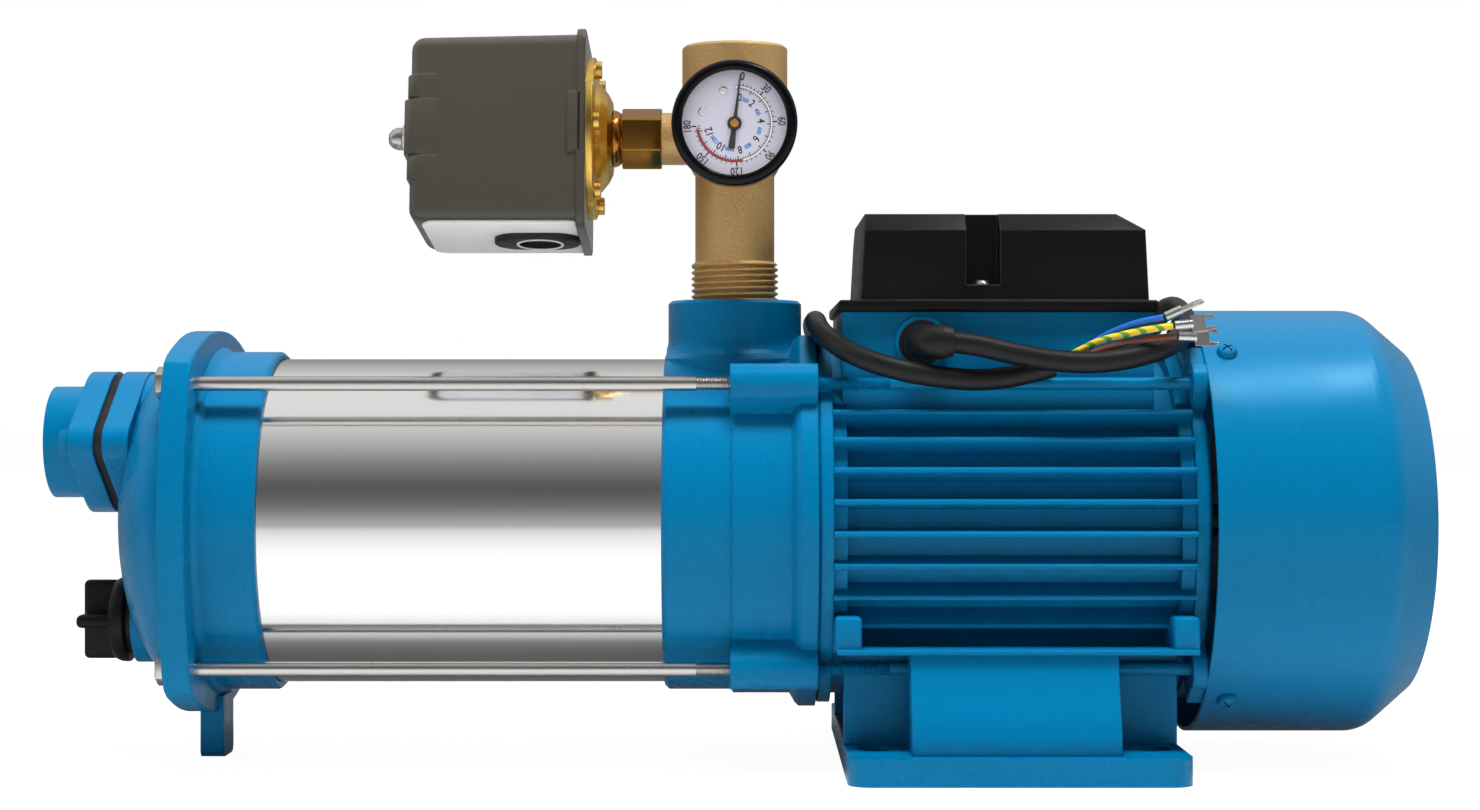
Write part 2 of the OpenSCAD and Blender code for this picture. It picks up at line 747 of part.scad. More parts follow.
module valve_flap() {
  color(black) {
    bar(flap_axis_x - flap_t / 2, flap_axis_x + flap_t / 2, flap_r, 0, inlet_z);
    translate([flap_axis_x - flap_t / 2, -flap_tab_w / 2, inlet_z]) {
      cube([flap_t, flap_tab_w, flap_r + flap_tab_rise]);
    }
  }
  color(steel) {
    bar(flap_axis_x, flap_axis_x + flap_t / 2 + flap_weight_t, flap_weight_r, 0, inlet_z);
    bar(flap_axis_x, flap_axis_x + flap_t / 2 + flap_weight_t + 1.4, 3, 0, inlet_z);
  }
}

module drain_plug() {
  x1 = x_sq0 - drain_boss_l - plug_seal_t;
  x0 = x1 - plug_cap_t;
  color(black) difference() {
    union() {
      along(0, 0, drain_z) rotate_extrude() polygon([
        [0, x0], [plug_cap_r - 1, x0], [plug_cap_r, x0 + 1], [plug_cap_r, x1], [0, x1]
      ]);
      bar(x1 - 1, x1 + plug_shank_l, plug_shank_r, 0, drain_z);
      for (turn = [0, 90]) along(x0 - plug_grip_l, 0, drain_z) rotate(turn) drain_wing();
    }
    bar(x1 + 4, x1 + plug_shank_l + eps, plug_shank_r - 3, 0, drain_z);
  }
}

// One pair of wings of the drain plug's grip
module drain_wing() {
  half = plug_cap_r - 1.2;
  translate([-half, -plug_wing_t / 2, 1.5]) cube([2 * half, plug_wing_t, plug_grip_l]);
  translate([1.5 - half, -plug_wing_t / 2, 0]) cube([2 * half - 3, plug_wing_t, 3]);
}

module drain_seal() {
  x1 = x_sq0 - drain_boss_l;
  color("#2a2a2a") pipe(x1 - plug_seal_t, x1, plug_shank_r + 3, plug_shank_r + run, 0, drain_z);
}

module barrel() {
  color(steel) pipe(x_barrel0, x_barrel1, barrel_r, barrel_r - barrel_wall);
}

module barrel_seals() {
  color(black) {
    pipe(x_barrel0 - barrel_seal_t, x_barrel0, barrel_r, barrel_r - barrel_wall - 2);
    pipe(x_barrel1, x_barrel1 + barrel_seal_t, barrel_r, barrel_r - barrel_wall - 2);
  }
}

module tie_rods() {
  color(dark_steel) at_rods() {
    slab(x_sq0 - rod_head_t, x_sq0) hexagon(rod_head_af);
    bar(x_sq0 - 1, x_lug0 + rod_grip, rod_r);
  }
}

// Curved vane from an inner to an outer radius, as a band between two arcs
module vane(r_in, r_out, sweep_r, t) {
  intersection() {
    difference() {
      translate([sweep_r, 0]) circle(r = sweep_r + t / 2);
      translate([sweep_r, 0]) circle(r = sweep_r - t / 2);
    }
    difference() {
      circle(r = r_out);
      circle(r = r_in);
    }
    square([2 * r_out, 2 * r_out]);
  }
}

module diffuser(index) {
  x0 = x_stack + (index - 1) * stage_pitch;
  x1 = x0 + stage_pitch - 0.2;
  x_return = x0 + hub_lead + impeller_l + back_gap;
  bore = stack_r - sheet_t;
  color("#b9bdc2") {
    turned([[eye_r + eye_gap + sheet_t, x0], [stack_r, x0], [stack_r, x1], [bore, x1],
      [bore, x0 + sheet_t], [eye_r + eye_gap + sheet_t, x0 + sheet_t]]);
    pipe(x0, x0 + hub_lead + 1.4, eye_r + eye_gap + sheet_t + eps, eye_r + eye_gap);
    pipe(x_return, x_return + sheet_t, impeller_r + 3, hub_r + run);
    along(x_return + sheet_t - eps) linear_extrude(x1 - x_return - sheet_t + eps) {
      for (k = [0 : diffuser_vanes - 1]) {
        rotate(360 * k / diffuser_vanes) vane(hub_r + 6, bore + 0.5, return_sweep_r, sheet_t);
      }
    }
  }
}

module impeller(index) {
  x0 = x_stack + hub_lead + (index - 1) * stage_pitch;
  x_front = x0 + front_disc;
  x_back = x_front + sheet_t + impeller_w;
  color("#d2c9a8") difference() {
    union() {
      bar(x0, x0 + hub_l, hub_r);
      turned([[eye_r - sheet_t, x0 - 1.2], [eye_r, x0 - 1.2], [eye_r, x_front - 0.6],
        [eye_r + 1.5, x_front], [impeller_r, x_front], [impeller_r, x_front + sheet_t],
        [eye_r, x_front + sheet_t], [eye_r - sheet_t, x_front]]);
      bar(x_back, x_back + sheet_t, impeller_r);
      along(x_front + sheet_t - eps) linear_extrude(impeller_w + 2 * eps) {
        for (k = [0 : impeller_vanes - 1]) {
          rotate(360 * k / impeller_vanes) vane(hub_r + 3, impeller_r - 0.6, vane_sweep_r, sheet_t);
        }
      }
    }
    bar(x0 - 2, x0 + hub_l + eps, shaft_r + fit);
  }
}

module shaft_sleeves() {
  color(steel) for (i = [0 : stages - 1]) {
    from = x_stack + hub_lead + hub_l + i * stage_pitch;
    to = i < stages - 1 ? from + stage_pitch - hub_l : x_wall0 - seal_rotor_l;
    pipe(from, to, hub_r - 1, shaft_r + fit);
  }
}

module impeller_nut() {
  color(steel) difference() {
    slab(x_nut - nut_t, x_nut) hexagon(nut_af);
    bar(x_nut - nut_t - eps, x_nut + eps, shaft_r - 2 + fit);
  }
}

// Round lug beside the outlet casing's body, drawn across the shaft
module lug_outline() {
  for (turn = [45 : 90 : 315]) rotate(turn) {
    reach = sqrt(2) * rod_off;
    translate([reach - 16, -corner_r]) square([16, 2 * corner_r]);
    translate([reach, 0]) circle(r = corner_r);
  }
}

module outlet_casing() {
  flange_x = x_lug1 - motor_flange_t;
  foot_z = shaft_h + collar_r - 8;
  neck_z = foot_z + 5;
  color(paint) difference() {
    union() {
      turned([[0, x_out0], [collar_r - 1.5, x_out0], [collar_r, x_out0 + 1.5],
        [collar_r, x_lug0], [outlet_body_r, x_lug0 + 1], [outlet_body_r, flange_x - 2],
        [motor_flange_r - 1.5, flange_x], [motor_flange_r, flange_x + 1.5],
        [motor_flange_r, x_lug1], [0, x_lug1]]);
      slab(x_lug0, x_lug1) lug_outline();
      intersection() {
        translate([x_tee, 0, 0]) rotate_extrude() polygon(concat(
          [[0, foot_z - 6], [outlet_boss_r + outlet_fillet, foot_z - 6]],
          arc(outlet_boss_r + outlet_fillet, neck_z + outlet_fillet, outlet_fillet, 270, 180, 6),
          [[outlet_boss_r, outlet_z - 1.2], [outlet_boss_r - 1.2, outlet_z], [0, outlet_z]]
        ));
        bar(x_out0 + 0.5, x_lug1 - 0.5, outlet_z);
      }
    }
    bar(x_out0 - eps, x_barrel1 + barrel_seal_t, barrel_r + fit);
    bar(x_barrel1, x_wall0, chamber_r);
    translate([x_tee, 0, shaft_h]) cylinder(r = tee_bore_r + 1, h = outlet_rise);
    translate([x_tee, 0, outlet_z - tee_thread_in]) {
      cylinder(r = pipe_thread_r + fit, h = tee_thread_in + eps);
    }
    bar(x_wall0 - eps, x_lug1 + eps, shaft_r + 2);
    bar(x_wall0 - eps, x_wall0 + seal_seat_t, seal_seat_r + fit);
    bar(x_wall0 + wall_t, x_lug1 + eps, wall_recess_r);
    at_rods() bar(x_lug0 - eps, x_lug0 + rod_grip + 0.5, rod_r + bolt_fit);
    at_rods() bar(x_lug1 - 7, x_lug1 + eps, through_bolt_r + bolt_fit);
  }
}

module seal_seat() {
  color("#d8d4c8") pipe(x_wall0 - 2, x_wall0 + seal_seat_t, seal_seat_r, shaft_r + run);
}

module seal_rotor() {
  x1 = x_wall0 - 2 - run;
  x0 = x_wall0 - seal_rotor_l;
  color("#3a3a3c") {
    pipe(x0, x0 + 5, 14, shaft_r + fit);
    pipe(x0 + 5 - eps, x1 - 4 + eps, 11, shaft_r + fit);
    pipe(x1 - 4, x1, 13, shaft_r + fit);
  }
}

module front_shield() {
  spigot_r = frame_r - frame_wall - fit;
  hub = bearing_r + hub_wall;
  color(paint) difference() {
    union() {
      turned([[0, x_flange1], [front_shield_r - 1, x_flange1], [front_shield_r, x_flange1 + 1],
        [front_shield_r, x_frame0], [spigot_r, x_frame0], [spigot_r, x_frame0 + 4],
        [spigot_r - 4, x_frame0 + 4], [spigot_r - 4, x_frame0], [hub, x_frame0],
        [hub, x_frame0 + bearing_seat_l - 1], [hub - 1, x_frame0 + bearing_seat_l],
        [0, x_frame0 + bearing_seat_l]]);
    }
    bar(x_flange1 - eps, x_frame0 + bearing_seat_l + eps, bearing_bore_r + 2);
    bar(x_bearing_f - 1, x_frame0 + bearing_seat_l + eps, bearing_r + eps);
  }
}

// Tapered radial fins on both sides, drawn across the shaft
module fin_outline() {
  root = frame_r - 1.5;
  for (side = [0, 1], k = [0 : fin_count - 1]) mirror([side, 0]) rotate(fin_first - k * fin_step) {
    polygon([
      [root, -fin_root_t / 2], [fin_tip_r - 0.6, -fin_tip_t / 2], [fin_tip_r, -fin_tip_t / 2 + 0.5],
      [fin_tip_r, fin_tip_t / 2 - 0.5], [fin_tip_r - 0.6, fin_tip_t / 2], [root, fin_root_t / 2]
    ]);
  }
}

// Rounded pads at the frame's lower corners, drawn across the shaft
module pad_outline() {
  root = frame_r - 1.5;
  for (side = [0, 1]) mirror([side, 0]) rotate(-pad_angle) {
    translate([root, -pad_h / 2]) square([fin_tip_r - root - 1.5, pad_h]);
    translate([root, 1.5 - pad_h / 2]) square([fin_tip_r - root, pad_h - 3]);
    for (end = [-1, 1]) translate([fin_tip_r - 1.5, end * (pad_h / 2 - 1.5)]) circle(r = 1.5);
  }
}

module motor_frame() {
  floor_z = shaft_h + frame_r + 2;
  color(paint) difference() {
    union() {
      bar(x_frame0, x_frame1, frame_r);
      bar(x_frame0, x_frame0 + frame_ring_l, frame_ring_r);
      bar(x_frame1 - frame_ring_l, x_frame1, frame_ring_r);
      slab(x_frame0, x_frame1) fin_outline();
      slab(x_frame0, x_frame0 + pad_w) pad_outline();
      slab(x_frame1 - pad_w, x_frame1) pad_outline();
      translate([box_x0, -box_w / 2, shaft_h + 37]) cube([box_l, box_w, box_rise - 37]);
      toward(gland_x, gland_y + 1, gland_z) cylinder(r = gland_r + 2.6, h = 3);
    }
    difference() {
      translate([box_x0 + box_wall, box_wall - box_w / 2, floor_z]) {
        cube([box_l - 2 * box_wall, box_w - 2 * box_wall, box_z]);
      }
      for (side = [-1, 1]) translate([notch_x, side * (box_w / 2 - lid_post / 2), 0]) {
        translate([-lid_post / 2, -lid_post / 2, 0]) cube([lid_post, lid_post, box_z + eps]);
      }
    }
    bar(x_frame0 - eps, x_frame1 + eps, frame_r - frame_wall);
    at_rods() bar(x_frame0 - eps, x_frame1 + eps, through_bolt_r + bolt_fit);
    translate([gland_x, 0, shaft_h]) cylinder(r = 9, h = box_rise);
    toward(gland_x, gland_y + 5, gland_z) cylinder(r = gland_r - 2, h = 12);
    for (side = [-1, 1]) translate([notch_x, side * (box_w / 2 - lid_post / 2), box_z - 10]) {
      cylinder(r = small_screw_r + bolt_fit, h = 10 + eps);
    }
  }
}

module foot() {
  block_top = 40;
  color(paint) difference() {
    union() {
      linear_extrude(foot_t) soft_rect(foot_l, foot_w, foot_corner_r);
      slab(-foot_l / 2, foot_l / 2, 0, 0) for (side = [-1, 1]) {
        translate([side * (web_off - web_t / 2) - web_t / 2, foot_t - 1]) {
          square([web_t, shaft_h - foot_t - 30]);
        }
      }
      slab(-block_l / 2, block_l / 2, 0, 0) {
        for (side = [0, 1]) mirror([side, 0]) polygon(concat(
          [[0, foot_t - 1], [block_half_w, foot_t - 1], [block_half_w, foot_t]],
          oval_arc(block_half_w, block_top, block_half_w - 49, block_top - foot_t - 2, 270, 180, 8),
          [[web_off, block_top + 3], [web_off - 0.5, shaft_h - 36], [0, shaft_h - 36]]
        ));
      }
    }
    bar(-foot_l, foot_l, frame_r + fit);
    slab(-foot_l, foot_l) fin_slots();
    for (side = [0, 1]) mirror([side, 0, 0]) slab(x_frame1 - pad_w - run, foot_l) pad_slots();
    at_rods() bar(-foot_l, foot_l, through_bolt_r + 1);
    for (sx = [-1, 1], sy = [-1, 1]) translate([sx * hole_pitch_x / 2, sy * hole_pitch_y / 2, -eps]) {
      cylinder(r = foot_hole_r, h = foot_t + 2 * eps);
    }
  }
}

// Room round the lowest fins, drawn across the shaft
module fin_slots() {
  root = frame_r - 2;
  for (side = [0, 1], k = [fin_count - 2 : fin_count - 1]) {
    mirror([side, 0]) rotate(fin_first - k * fin_step) translate([root, -fin_root_t / 2 - run]) {
      square([fin_tip_r + run - root, fin_root_t + 2 * run]);
    }
  }
}

// Room round the frame's end rings and pads, drawn across the shaft
module pad_slots() {
  circle(r = frame_ring_r + run);
  for (side = [0, 1]) mirror([side, 0]) rotate(-pad_angle) translate([0, -pad_h / 2 - run]) {
    square([fin_tip_r + run, pad_h + 2 * run]);
  }
}

// Rectangle with rounded corners, centred
module soft_rect(w, h, r) {
  square([w - 2 * r, h], center = true);
  square([w, h - 2 * r], center = true);
  for (sx = [-1, 1], sy = [-1, 1]) translate([sx * (w / 2 - r), sy * (h / 2 - r)]) circle(r = r);
}

module stator() {
  outer = frame_r - frame_wall - fit;
  slot_in = stator_bore_r + 2.5;
  slot_out = outer - 9;
  color("#8d8f93") along(-stator_l / 2) linear_extrude(stator_l) difference() {
    circle(r = outer);
    circle(r = stator_bore_r);
    for (k = [0 : stator_slots - 1]) rotate(360 * k / stator_slots) {
      translate([slot_in, -2]) square([slot_out - slot_in, 4]);
      translate([stator_bore_r - 1, -0.8]) square([4, 1.6]);
    }
  }
  for (side = [0, 1]) mirror([side, 0, 0]) color("#b5622e") turned([
    [slot_in + 1, stator_l / 2 - eps], [slot_out - 1, stator_l / 2 - eps], [slot_out, stator_l / 2 + 4],
    [slot_out - 2, stator_l / 2 + 13], [slot_out - 5, stator_l / 2 + 15], [slot_in + 5, stator_l / 2 + 15],
    [slot_in + 2, stator_l / 2 + 13], [slot_in, stator_l / 2 + 4]
  ]);
}

module rotor_core() {
  r = stator_bore_r - air_gap;
  ring = 6;
  color("#a0a3a8") difference() {
    union() {
      bar(-stator_l / 2, stator_l / 2, r);
      bar(-stator_l / 2 - ring, stator_l / 2 + ring, r - 3);
    }
    bar(-stator_l, stator_l, core_shaft_r + fit);
  }
}

module shaft() {
  x_core = x_bearing_f + bearing_w + fit;
  color(steel) turned([
    [0, x_shaft0], [shaft_r - 3, x_shaft0], [shaft_r - 2, x_shaft0 + 1], [shaft_r - 2, x_nut + fit],
    [shaft_r, x_nut + fit], [shaft_r, x_flange1], [bearing_bore_r - eps, x_flange1],
    [bearing_bore_r - eps, x_core], [core_shaft_r, x_core], [core_shaft_r, x_bearing_r - fit],
    [bearing_bore_r - eps, x_bearing_r - fit], [bearing_bore_r - eps, x_rear1 + 6],
    [fan_shaft_r, x_rear1 + 6], [fan_shaft_r, x_shaft1 - 1], [fan_shaft_r - 1, x_shaft1], [0, x_shaft1]
  ]);
}

module bearing_outers() {
  color(steel) for (x = [x_bearing_f, x_bearing_r]) {
    pipe(x, x + bearing_w, bearing_r, bearing_r - 3.5);
  }
}

module bearing_inners() {
  pitch_r = (bearing_r - 3.5 + bearing_bore_r + 3.5) / 2 - 0.1;
  ball_r = (bearing_r - bearing_bore_r) / 2 - 3.45;
  color(steel) for (x = [x_bearing_f, x_bearing_r]) {
    pipe(x, x + bearing_w, bearing_bore_r + 3.5, bearing_bore_r);
    for (k = [0 : bearing_balls - 1]) along(x + bearing_w / 2) rotate(360 * k / bearing_balls) {
      translate([pitch_r, 0, 0]) sphere(r = ball_r);
    }
  }
}

module through_bolts() {
  color(paint) at_rods() {
    bar(x_lug1 - 6.5, x_rear1 + 1, through_bolt_r);
    slab(x_rear1, x_rear1 + through_bolt_head) hexagon(through_bolt_af);
  }
}

module rear_shield() {
  spigot_r = frame_r - frame_wall - fit;
  hub = bearing_r + hub_wall;
  x0 = x_frame1 - bearing_seat_l;
  lug_reach = cover_r - cover_wall - run;
  lug_foot = rear_shield_r - 6;
  color(paint) difference() {
    union() {
      turned([[0, x0], [hub - 1, x0], [hub, x0 + 1], [hub, x_frame1], [spigot_r - 4, x_frame1],
        [spigot_r - 4, x_frame1 - 4], [spigot_r, x_frame1 - 4], [spigot_r, x_frame1],
        [rear_shield_r, x_frame1], [rear_shield_r, x_rear1 - 1], [rear_shield_r - 1, x_rear1], [0, x_rear1]]);
      slab(x_frame1, x_rear1) lug_outline();
      for (side = [0, 1], up = [-1, 1]) slab(x_frame1, x_rear1 + cover_lug_l) mirror([side, 0]) {
        rotate(up * cover_screw_angle) translate([lug_foot, -cover_lug_w / 2]) {
          square([lug_reach - lug_foot, cover_lug_w]);
        }
      }
    }
    bar(x0 - eps, x_bearing_r + bearing_w + 1, bearing_r + eps);
    bar(x0 - eps, x_rear1 + eps, bearing_bore_r + 2);
    at_rods() bar(x_frame1 - eps, x_rear1 + eps, through_bolt_r + bolt_fit);
    at_cover_screws() translate([0, 0, -cover_lug_l]) {
      cylinder(r = small_screw_r + bolt_fit, h = cover_lug_l + 2);
    }
    bar(x_rear1, x_rear1 + cover_lug_l + eps, rear_shield_r - 3);
  }
}

// Lays the children's Z axis outward at the four cover screws, from the cover's surface
module at_cover_screws() {
  for (side = [0, 1], up = [-1, 1]) {
    translate([x_rear1 + cover_screw_in, 0, shaft_h]) mirror([0, side, 0]) {
      rotate([up * cover_screw_angle - 90, 0, 0]) translate([0, 0, cover_r]) children();
    }
  }
}

module fan() {
  blade_t = 2.2;
  color("#2b2b2d") {
    difference() {
      union() {
        turned([[0, x_fan], [fan_r - 1, x_fan], [fan_r, x_fan + 1], [fan_r, x_fan + 2.4],
          [18, x_fan + 2.4], [15, x_fan + 5], [14, x_fan + fan_hub_l], [0, x_fan + fan_hub_l]]);
        along(x_fan + 2) linear_extrude(fan_blade_l) for (k = [0 : fan_blades - 1]) {
          rotate(360 * k / fan_blades) translate([13, -blade_t / 2]) square([fan_r - 15, blade_t]);
        }
      }
      bar(x_fan - eps, x_fan + fan_hub_l + eps, fan_shaft_r + fit);
    }
  }
}

module fan_cover() {
  slope = atan((cover_r - grille_r) / shoulder_l);
  x_crease = x_cover1 - shoulder_l - crease_r * tan(slope / 2);
  centre_r = cover_r - crease_r;
  inner_end = grille_r + cover_wall * tan(slope) - cover_wall / cos(slope);
  color(paint) difference() {
    union() {
      turned(concat(
        [[cover_r, x_rear1]],
        arc(centre_r, x_crease, crease_r, 0, slope, 5),
        [[grille_r, x_cover1], [grille_r - 3, x_cover1], [grille_r - 3, x_cover1 - cover_wall],
          [inner_end, x_cover1 - cover_wall]],
        arc(centre_r, x_crease, crease_r - cover_wall, slope, 0, 5),
        [[cover_r - cover_wall, x_rear1]]
      ));
      along(x_cover1 - cover_wall) linear_extrude(cover_wall) grille_outline();
    }
    at_cover_screws() translate([0, 0, -4]) cylinder(r = small_screw_r + bolt_fit, h = 6);
  }
}

// Flat guard of rings joined by spokes, drawn across the shaft
module grille_outline() {
  hub = 12;
  outer = grille_r - 2;
  difference() {
    circle(r = outer);
    circle(r = outer - grille_bar);
  }
  circle(r = hub);
  for (r = [hub + grille_pitch : grille_pitch : outer - grille_pitch / 2]) difference() {
    circle(r = r);
    circle(r = r - grille_bar);
  }
  for (k = [0 : grille_spokes - 1]) rotate(360 * k / grille_spokes) {
    translate([hub - 2, -2.5]) square([outer - hub, 5]);
  }
}

module cover_screws() {
  color(dark_steel) at_cover_screws() {
    cylinder(r1 = small_head_r, r2 = small_head_r - 1.2, h = small_head_t);
    translate([0, 0, -10]) cylinder(r = small_screw_r, h = 10 + eps);
  }
}

// Body of the lid with bevelled long edges, drawn across the shaft from its foot
module lid_outline(shrink) {
  half = rim_w / 2 - 3 - shrink;
  top = lid_h - shrink;
  polygon([
    [-half, 0], [-half, top - lid_bevel], [lid_bevel - half, top],
    [half - lid_bevel, top], [half, top - lid_bevel], [half, 0]
  ]);
}

module terminal_lid() {
  end = lid_x0 + lid_l;
  slot_z = box_z + lid_slot_rise;
  color(black) difference() {
    union() {
      translate([-box_back, 0, box_z]) linear_extrude(rim_h) soft_rect(rim_l, rim_w, 4);
      slab(lid_x0, end, 0, box_z) lid_outline(0);
    }
    difference() {
      slab(lid_x0 + lid_wall, end - lid_wall, 0, box_z - eps) lid_outline(lid_wall);
      notches(lid_wall, slot_z - lid_wall);
    }
    notches(0, slot_z);
    translate([end, -rim_w, lid_z - lid_bevel]) rotate([0, -32, 0]) cube([20, 2 * rim_w, 30]);
    for (side = [-1, 1]) translate([notch_x, side * (box_w / 2 - lid_post / 2), box_z - 1]) {
      cylinder(r = small_screw_r + bolt_fit, h = 20);
    }
  }
}

// Upright notches for the lid's screws, grown by a wall
module notches(grow, from) {
  depth = notch_d + grow;
  for (side = [-1, 1]) translate([notch_x - notch_w / 2 - grow, 0, from]) {
    translate([0, side > 0 ? rim_w / 2 - 3 - depth : 3 - rim_w / 2 - 6, 0]) {
      cube([notch_w + 2 * grow, depth + 6, lid_h + 20]);
    }
  }
}

module lid_screws() {
  slot_z = box_z + lid_slot_rise;
  color(steel) for (side = [-1, 1]) translate([notch_x, side * (box_w / 2 - lid_post / 2), 0]) {
    translate([0, 0, slot_z]) cylinder(r1 = small_head_r, r2 = small_head_r - 0.8, h = small_head_t);
    translate([0, 0, box_z - 8]) cylinder(r = small_screw_r, h = slot_z - box_z + 8 + eps);
  }
}

module capacitor() {
  floor_z = shaft_h + frame_r + 2;
  color("#d9d9d6") {
    bar(-38, capacitor_l - 38, capacitor_r, 12, floor_z + capacitor_r + run);
    bar(capacitor_l - 38 - eps, capacitor_l - 35, capacitor_r - 3, 12, floor_z + capacitor_r + run);
  }
}

module cable_gland() {
  start_y = gland_y - gland_len;
  grip = cord_r + 1.4;
  exit_x = gland_x + gland_bend + gland_exit;
  color(black) difference() {
    union() {
      toward(gland_x, gland_y - 2, gland_z) cylinder(r = gland_r + 1.2, h = 2.4);
      toward(gland_x, gland_y - 2, gland_z) cylinder(r = gland_r, h = gland_len - 2);
      toward(gland_x, gland_y + 4, gland_z) cylinder(r = gland_r - 2 - fit, h = 8);
      translate([gland_x + gland_bend, start_y, gland_z]) rotate([0, 0, 180]) {
        rotate_extrude(angle = 90) translate([gland_bend, 0]) circle(r = gland_r - 0.8);
      }
      along(gland_x + gland_bend, start_y - gland_bend, gland_z) {
        cylinder(r1 = gland_r - 0.8, r2 = grip, h = gland_exit);
      }
    }
    along(exit_x - cord_in, start_y - gland_bend, gland_z) {
      cylinder(r = cord_r + run, h = cord_in + eps);
    }
  }
}

module power_cord() {
  color(black) cable(cord_points, cord_r, cord_sides, 2);
}

module wire_earth() {
  color("#9fb52a") cable(earth_points, core_r, 8, 2);
}

module wire_live() {
  color("#6b3a22") cable(live_points, core_r, 8, 2);
}

module wire_neutral() {
  color("#1f5fae") cable(neutral_points, core_r, 8, 2);
}

// Crimped fork terminal that carries on from the end of a core
module fork(place, rise, roll) {
  translate(place) rotate([0, -rise, 0]) rotate([roll, 0, 0]) {
    translate([0.5, 0, 0]) rotate([0, 90, 0]) cylinder(r = core_r + 0.5, h = 6.5);
    difference() {
      union() {
        translate([6.5, -fork_w / 2, -0.4]) cube([6, fork_w, 0.8]);
        translate([12.5, 0, -0.4]) cylinder(r = fork_w / 2, h = 0.8);
      }
      translate([11.5, -1.6, -1]) cube([6, 3.2, 2]);
    }
  }
}

module fork_terminals() {
  color(steel) {
    fork(earth_points[len(earth_points) - 1], 6, 70);
    fork(live_points[len(live_points) - 1], -2, 84);
    fork(neutral_points[len(neutral_points) - 1], 24, 10);
  }
}

module tee() {
  pipe_z = outlet_z + tee_thread_show;
  taper_z = pipe_z + tee_pipe_l;
  body_z = taper_z + tee_taper;
  color(brass) difference() {
    union() {
      translate([x_tee, 0, 0]) rotate_extrude() polygon([
        [0, outlet_z - tee_thread_in + 0.4], [pipe_thread_r - 1.5, outlet_z - tee_thread_in + 0.4],
        [pipe_thread_r, outlet_z - tee_thread_in + 2], [pipe_thread_r, pipe_z - 1], [tee_pipe_r, pipe_z],
        [tee_pipe_r, taper_z], [tee_pipe_r + 1, taper_z + 1.5], [tee_body_r - 1, body_z - 1.5],
        [tee_body_r, body_z], [tee_body_r, tee_top_z - 1], [tee_body_r - 1, tee_top_z], [0, tee_top_z]
      ]);
      toward(x_tee, 0, port_z) cylinder(r = port_r, h = port_reach);
      bar(x_tee - port_reach, x_tee, port_r, 0, port_z);
    }
    translate([x_tee, 0, outlet_z - tee_thread_in]) cylinder(r = tee_bore_r, h = tee_top_z);
    translate([x_tee, 0, tee_top_z - 18]) cylinder(r = pipe_core_r, h = 20);
    toward(x_tee, 0, port_z) cylinder(r = port_bore_r, h = port_reach + eps);
    bar(x_tee - port_reach - eps, x_tee, port_bore_r, 0, port_z);
  }
}

module gauge_case() {
  rim = bezel_r - 0.9;
  floor_h = gauge_depth - 6.2;
  stem = gauge_stand - port_reach;
  color(brass) toward(x_tee, gauge_y, port_z) {
    rotate_extrude() polygon([
      [0, 0], [rim - 2, 0], [rim, 2], [rim, gauge_depth - 3], [rim - 1.2, gauge_depth - 3],
      [rim - 1.2, floor_h], [0, floor_h]
    ]);
    translate([0, 0, -stem]) linear_extrude(stem + eps) hexagon(14);
    translate([0, 0, -stem - 8]) cylinder(r = port_bore_r - fit, h = 8 + eps);
  }
}

module gauge_bezel() {
  rim = bezel_r - 0.9;
  color(black) toward(x_tee, gauge_y, port_z) rotate_extrude() polygon([
    [rim + eps, gauge_depth - 8], [bezel_r, gauge_depth - 8], [bezel_r, gauge_depth - 0.8],
    [bezel_r - 0.8, gauge_depth], [dial_r + 0.6, gauge_depth], [dial_r, gauge_depth - 0.6],
    [dial_r, gauge_depth - 1.5], [rim + eps, gauge_depth - 1.5]
  ]);
}

module gauge_lens() {
  rim = bezel_r - 0.9;
  color("#dfe8ee") toward(x_tee, gauge_y - gauge_depth + 3, port_z) cylinder(r = rim, h = 1.5);
}

module gauge_dial() {
  rim = bezel_r - 0.9;
  color("#e6e4ee") toward(x_tee, gauge_y - gauge_depth + 6.2, port_z) cylinder(r = rim - 1.3, h = 0.8);
}

module gauge_needle() {
  color(black) toward(x_tee, gauge_y - gauge_depth + 5.1, port_z) rotate(-needle_rest) {
    cylinder(r = 2.6, h = 1.5);
    translate([0, 0, 0.2]) linear_extrude(0.6) polygon([
      [-0.75, 0], [-0.2, needle_l], [0.2, needle_l], [0.75, 0], [1.2, -9], [-1.2, -9]
    ]);
  }
}

// Rolls the children about the switch's own axis
module switch_place() {
  translate([0, 0, port_z]) rotate([-switch_roll, 0, 0]) translate([0, 0, -port_z]) children();
}

module switch_union() {
  color(brass) switch_place() {
    slab(sw_union0, sw_union1, 0, port_z) hexagon(union_af);
    bar(sw_union1 - 1, sw_union1 + 10, port_bore_r - fit, 0, port_z);
    along(sw_dome1, 0, port_z) cylinder(r1 = 11.5, r2 = union_af / 2 - 1, h = switch_cone_l + eps);
  }
}

module switch_diaphragm() {
  color("#a87820") switch_place() difference() {
    along(0, 0, port_z) rotate_extrude() polygon([
      [0, sw_dome0], [diaphragm_r, sw_dome0], [diaphragm_r, sw_dome0 + 2.4], [diaphragm_r - 1, sw_dome0 + 3],
      [diaphragm_r - 9, sw_dome0 + 3], [diaphragm_r - 11, sw_dome0 + 5], [17, sw_dome1 - 1.5],
      [14, sw_dome1], [0, sw_dome1]
    ]);
    for (k = [0 : 5]) switch_screw_place(k) cylinder(r = 2 + bolt_fit, h = 20);
  }
}

// Place of one of the six screws round the diaphragm flange, at the base plate
module switch_screw_place(k) {
  along(sw_base0 - 1, 0, port_z) rotate(60 * k + 30) translate([sw_screw_ring, 0, 0]) children();
}

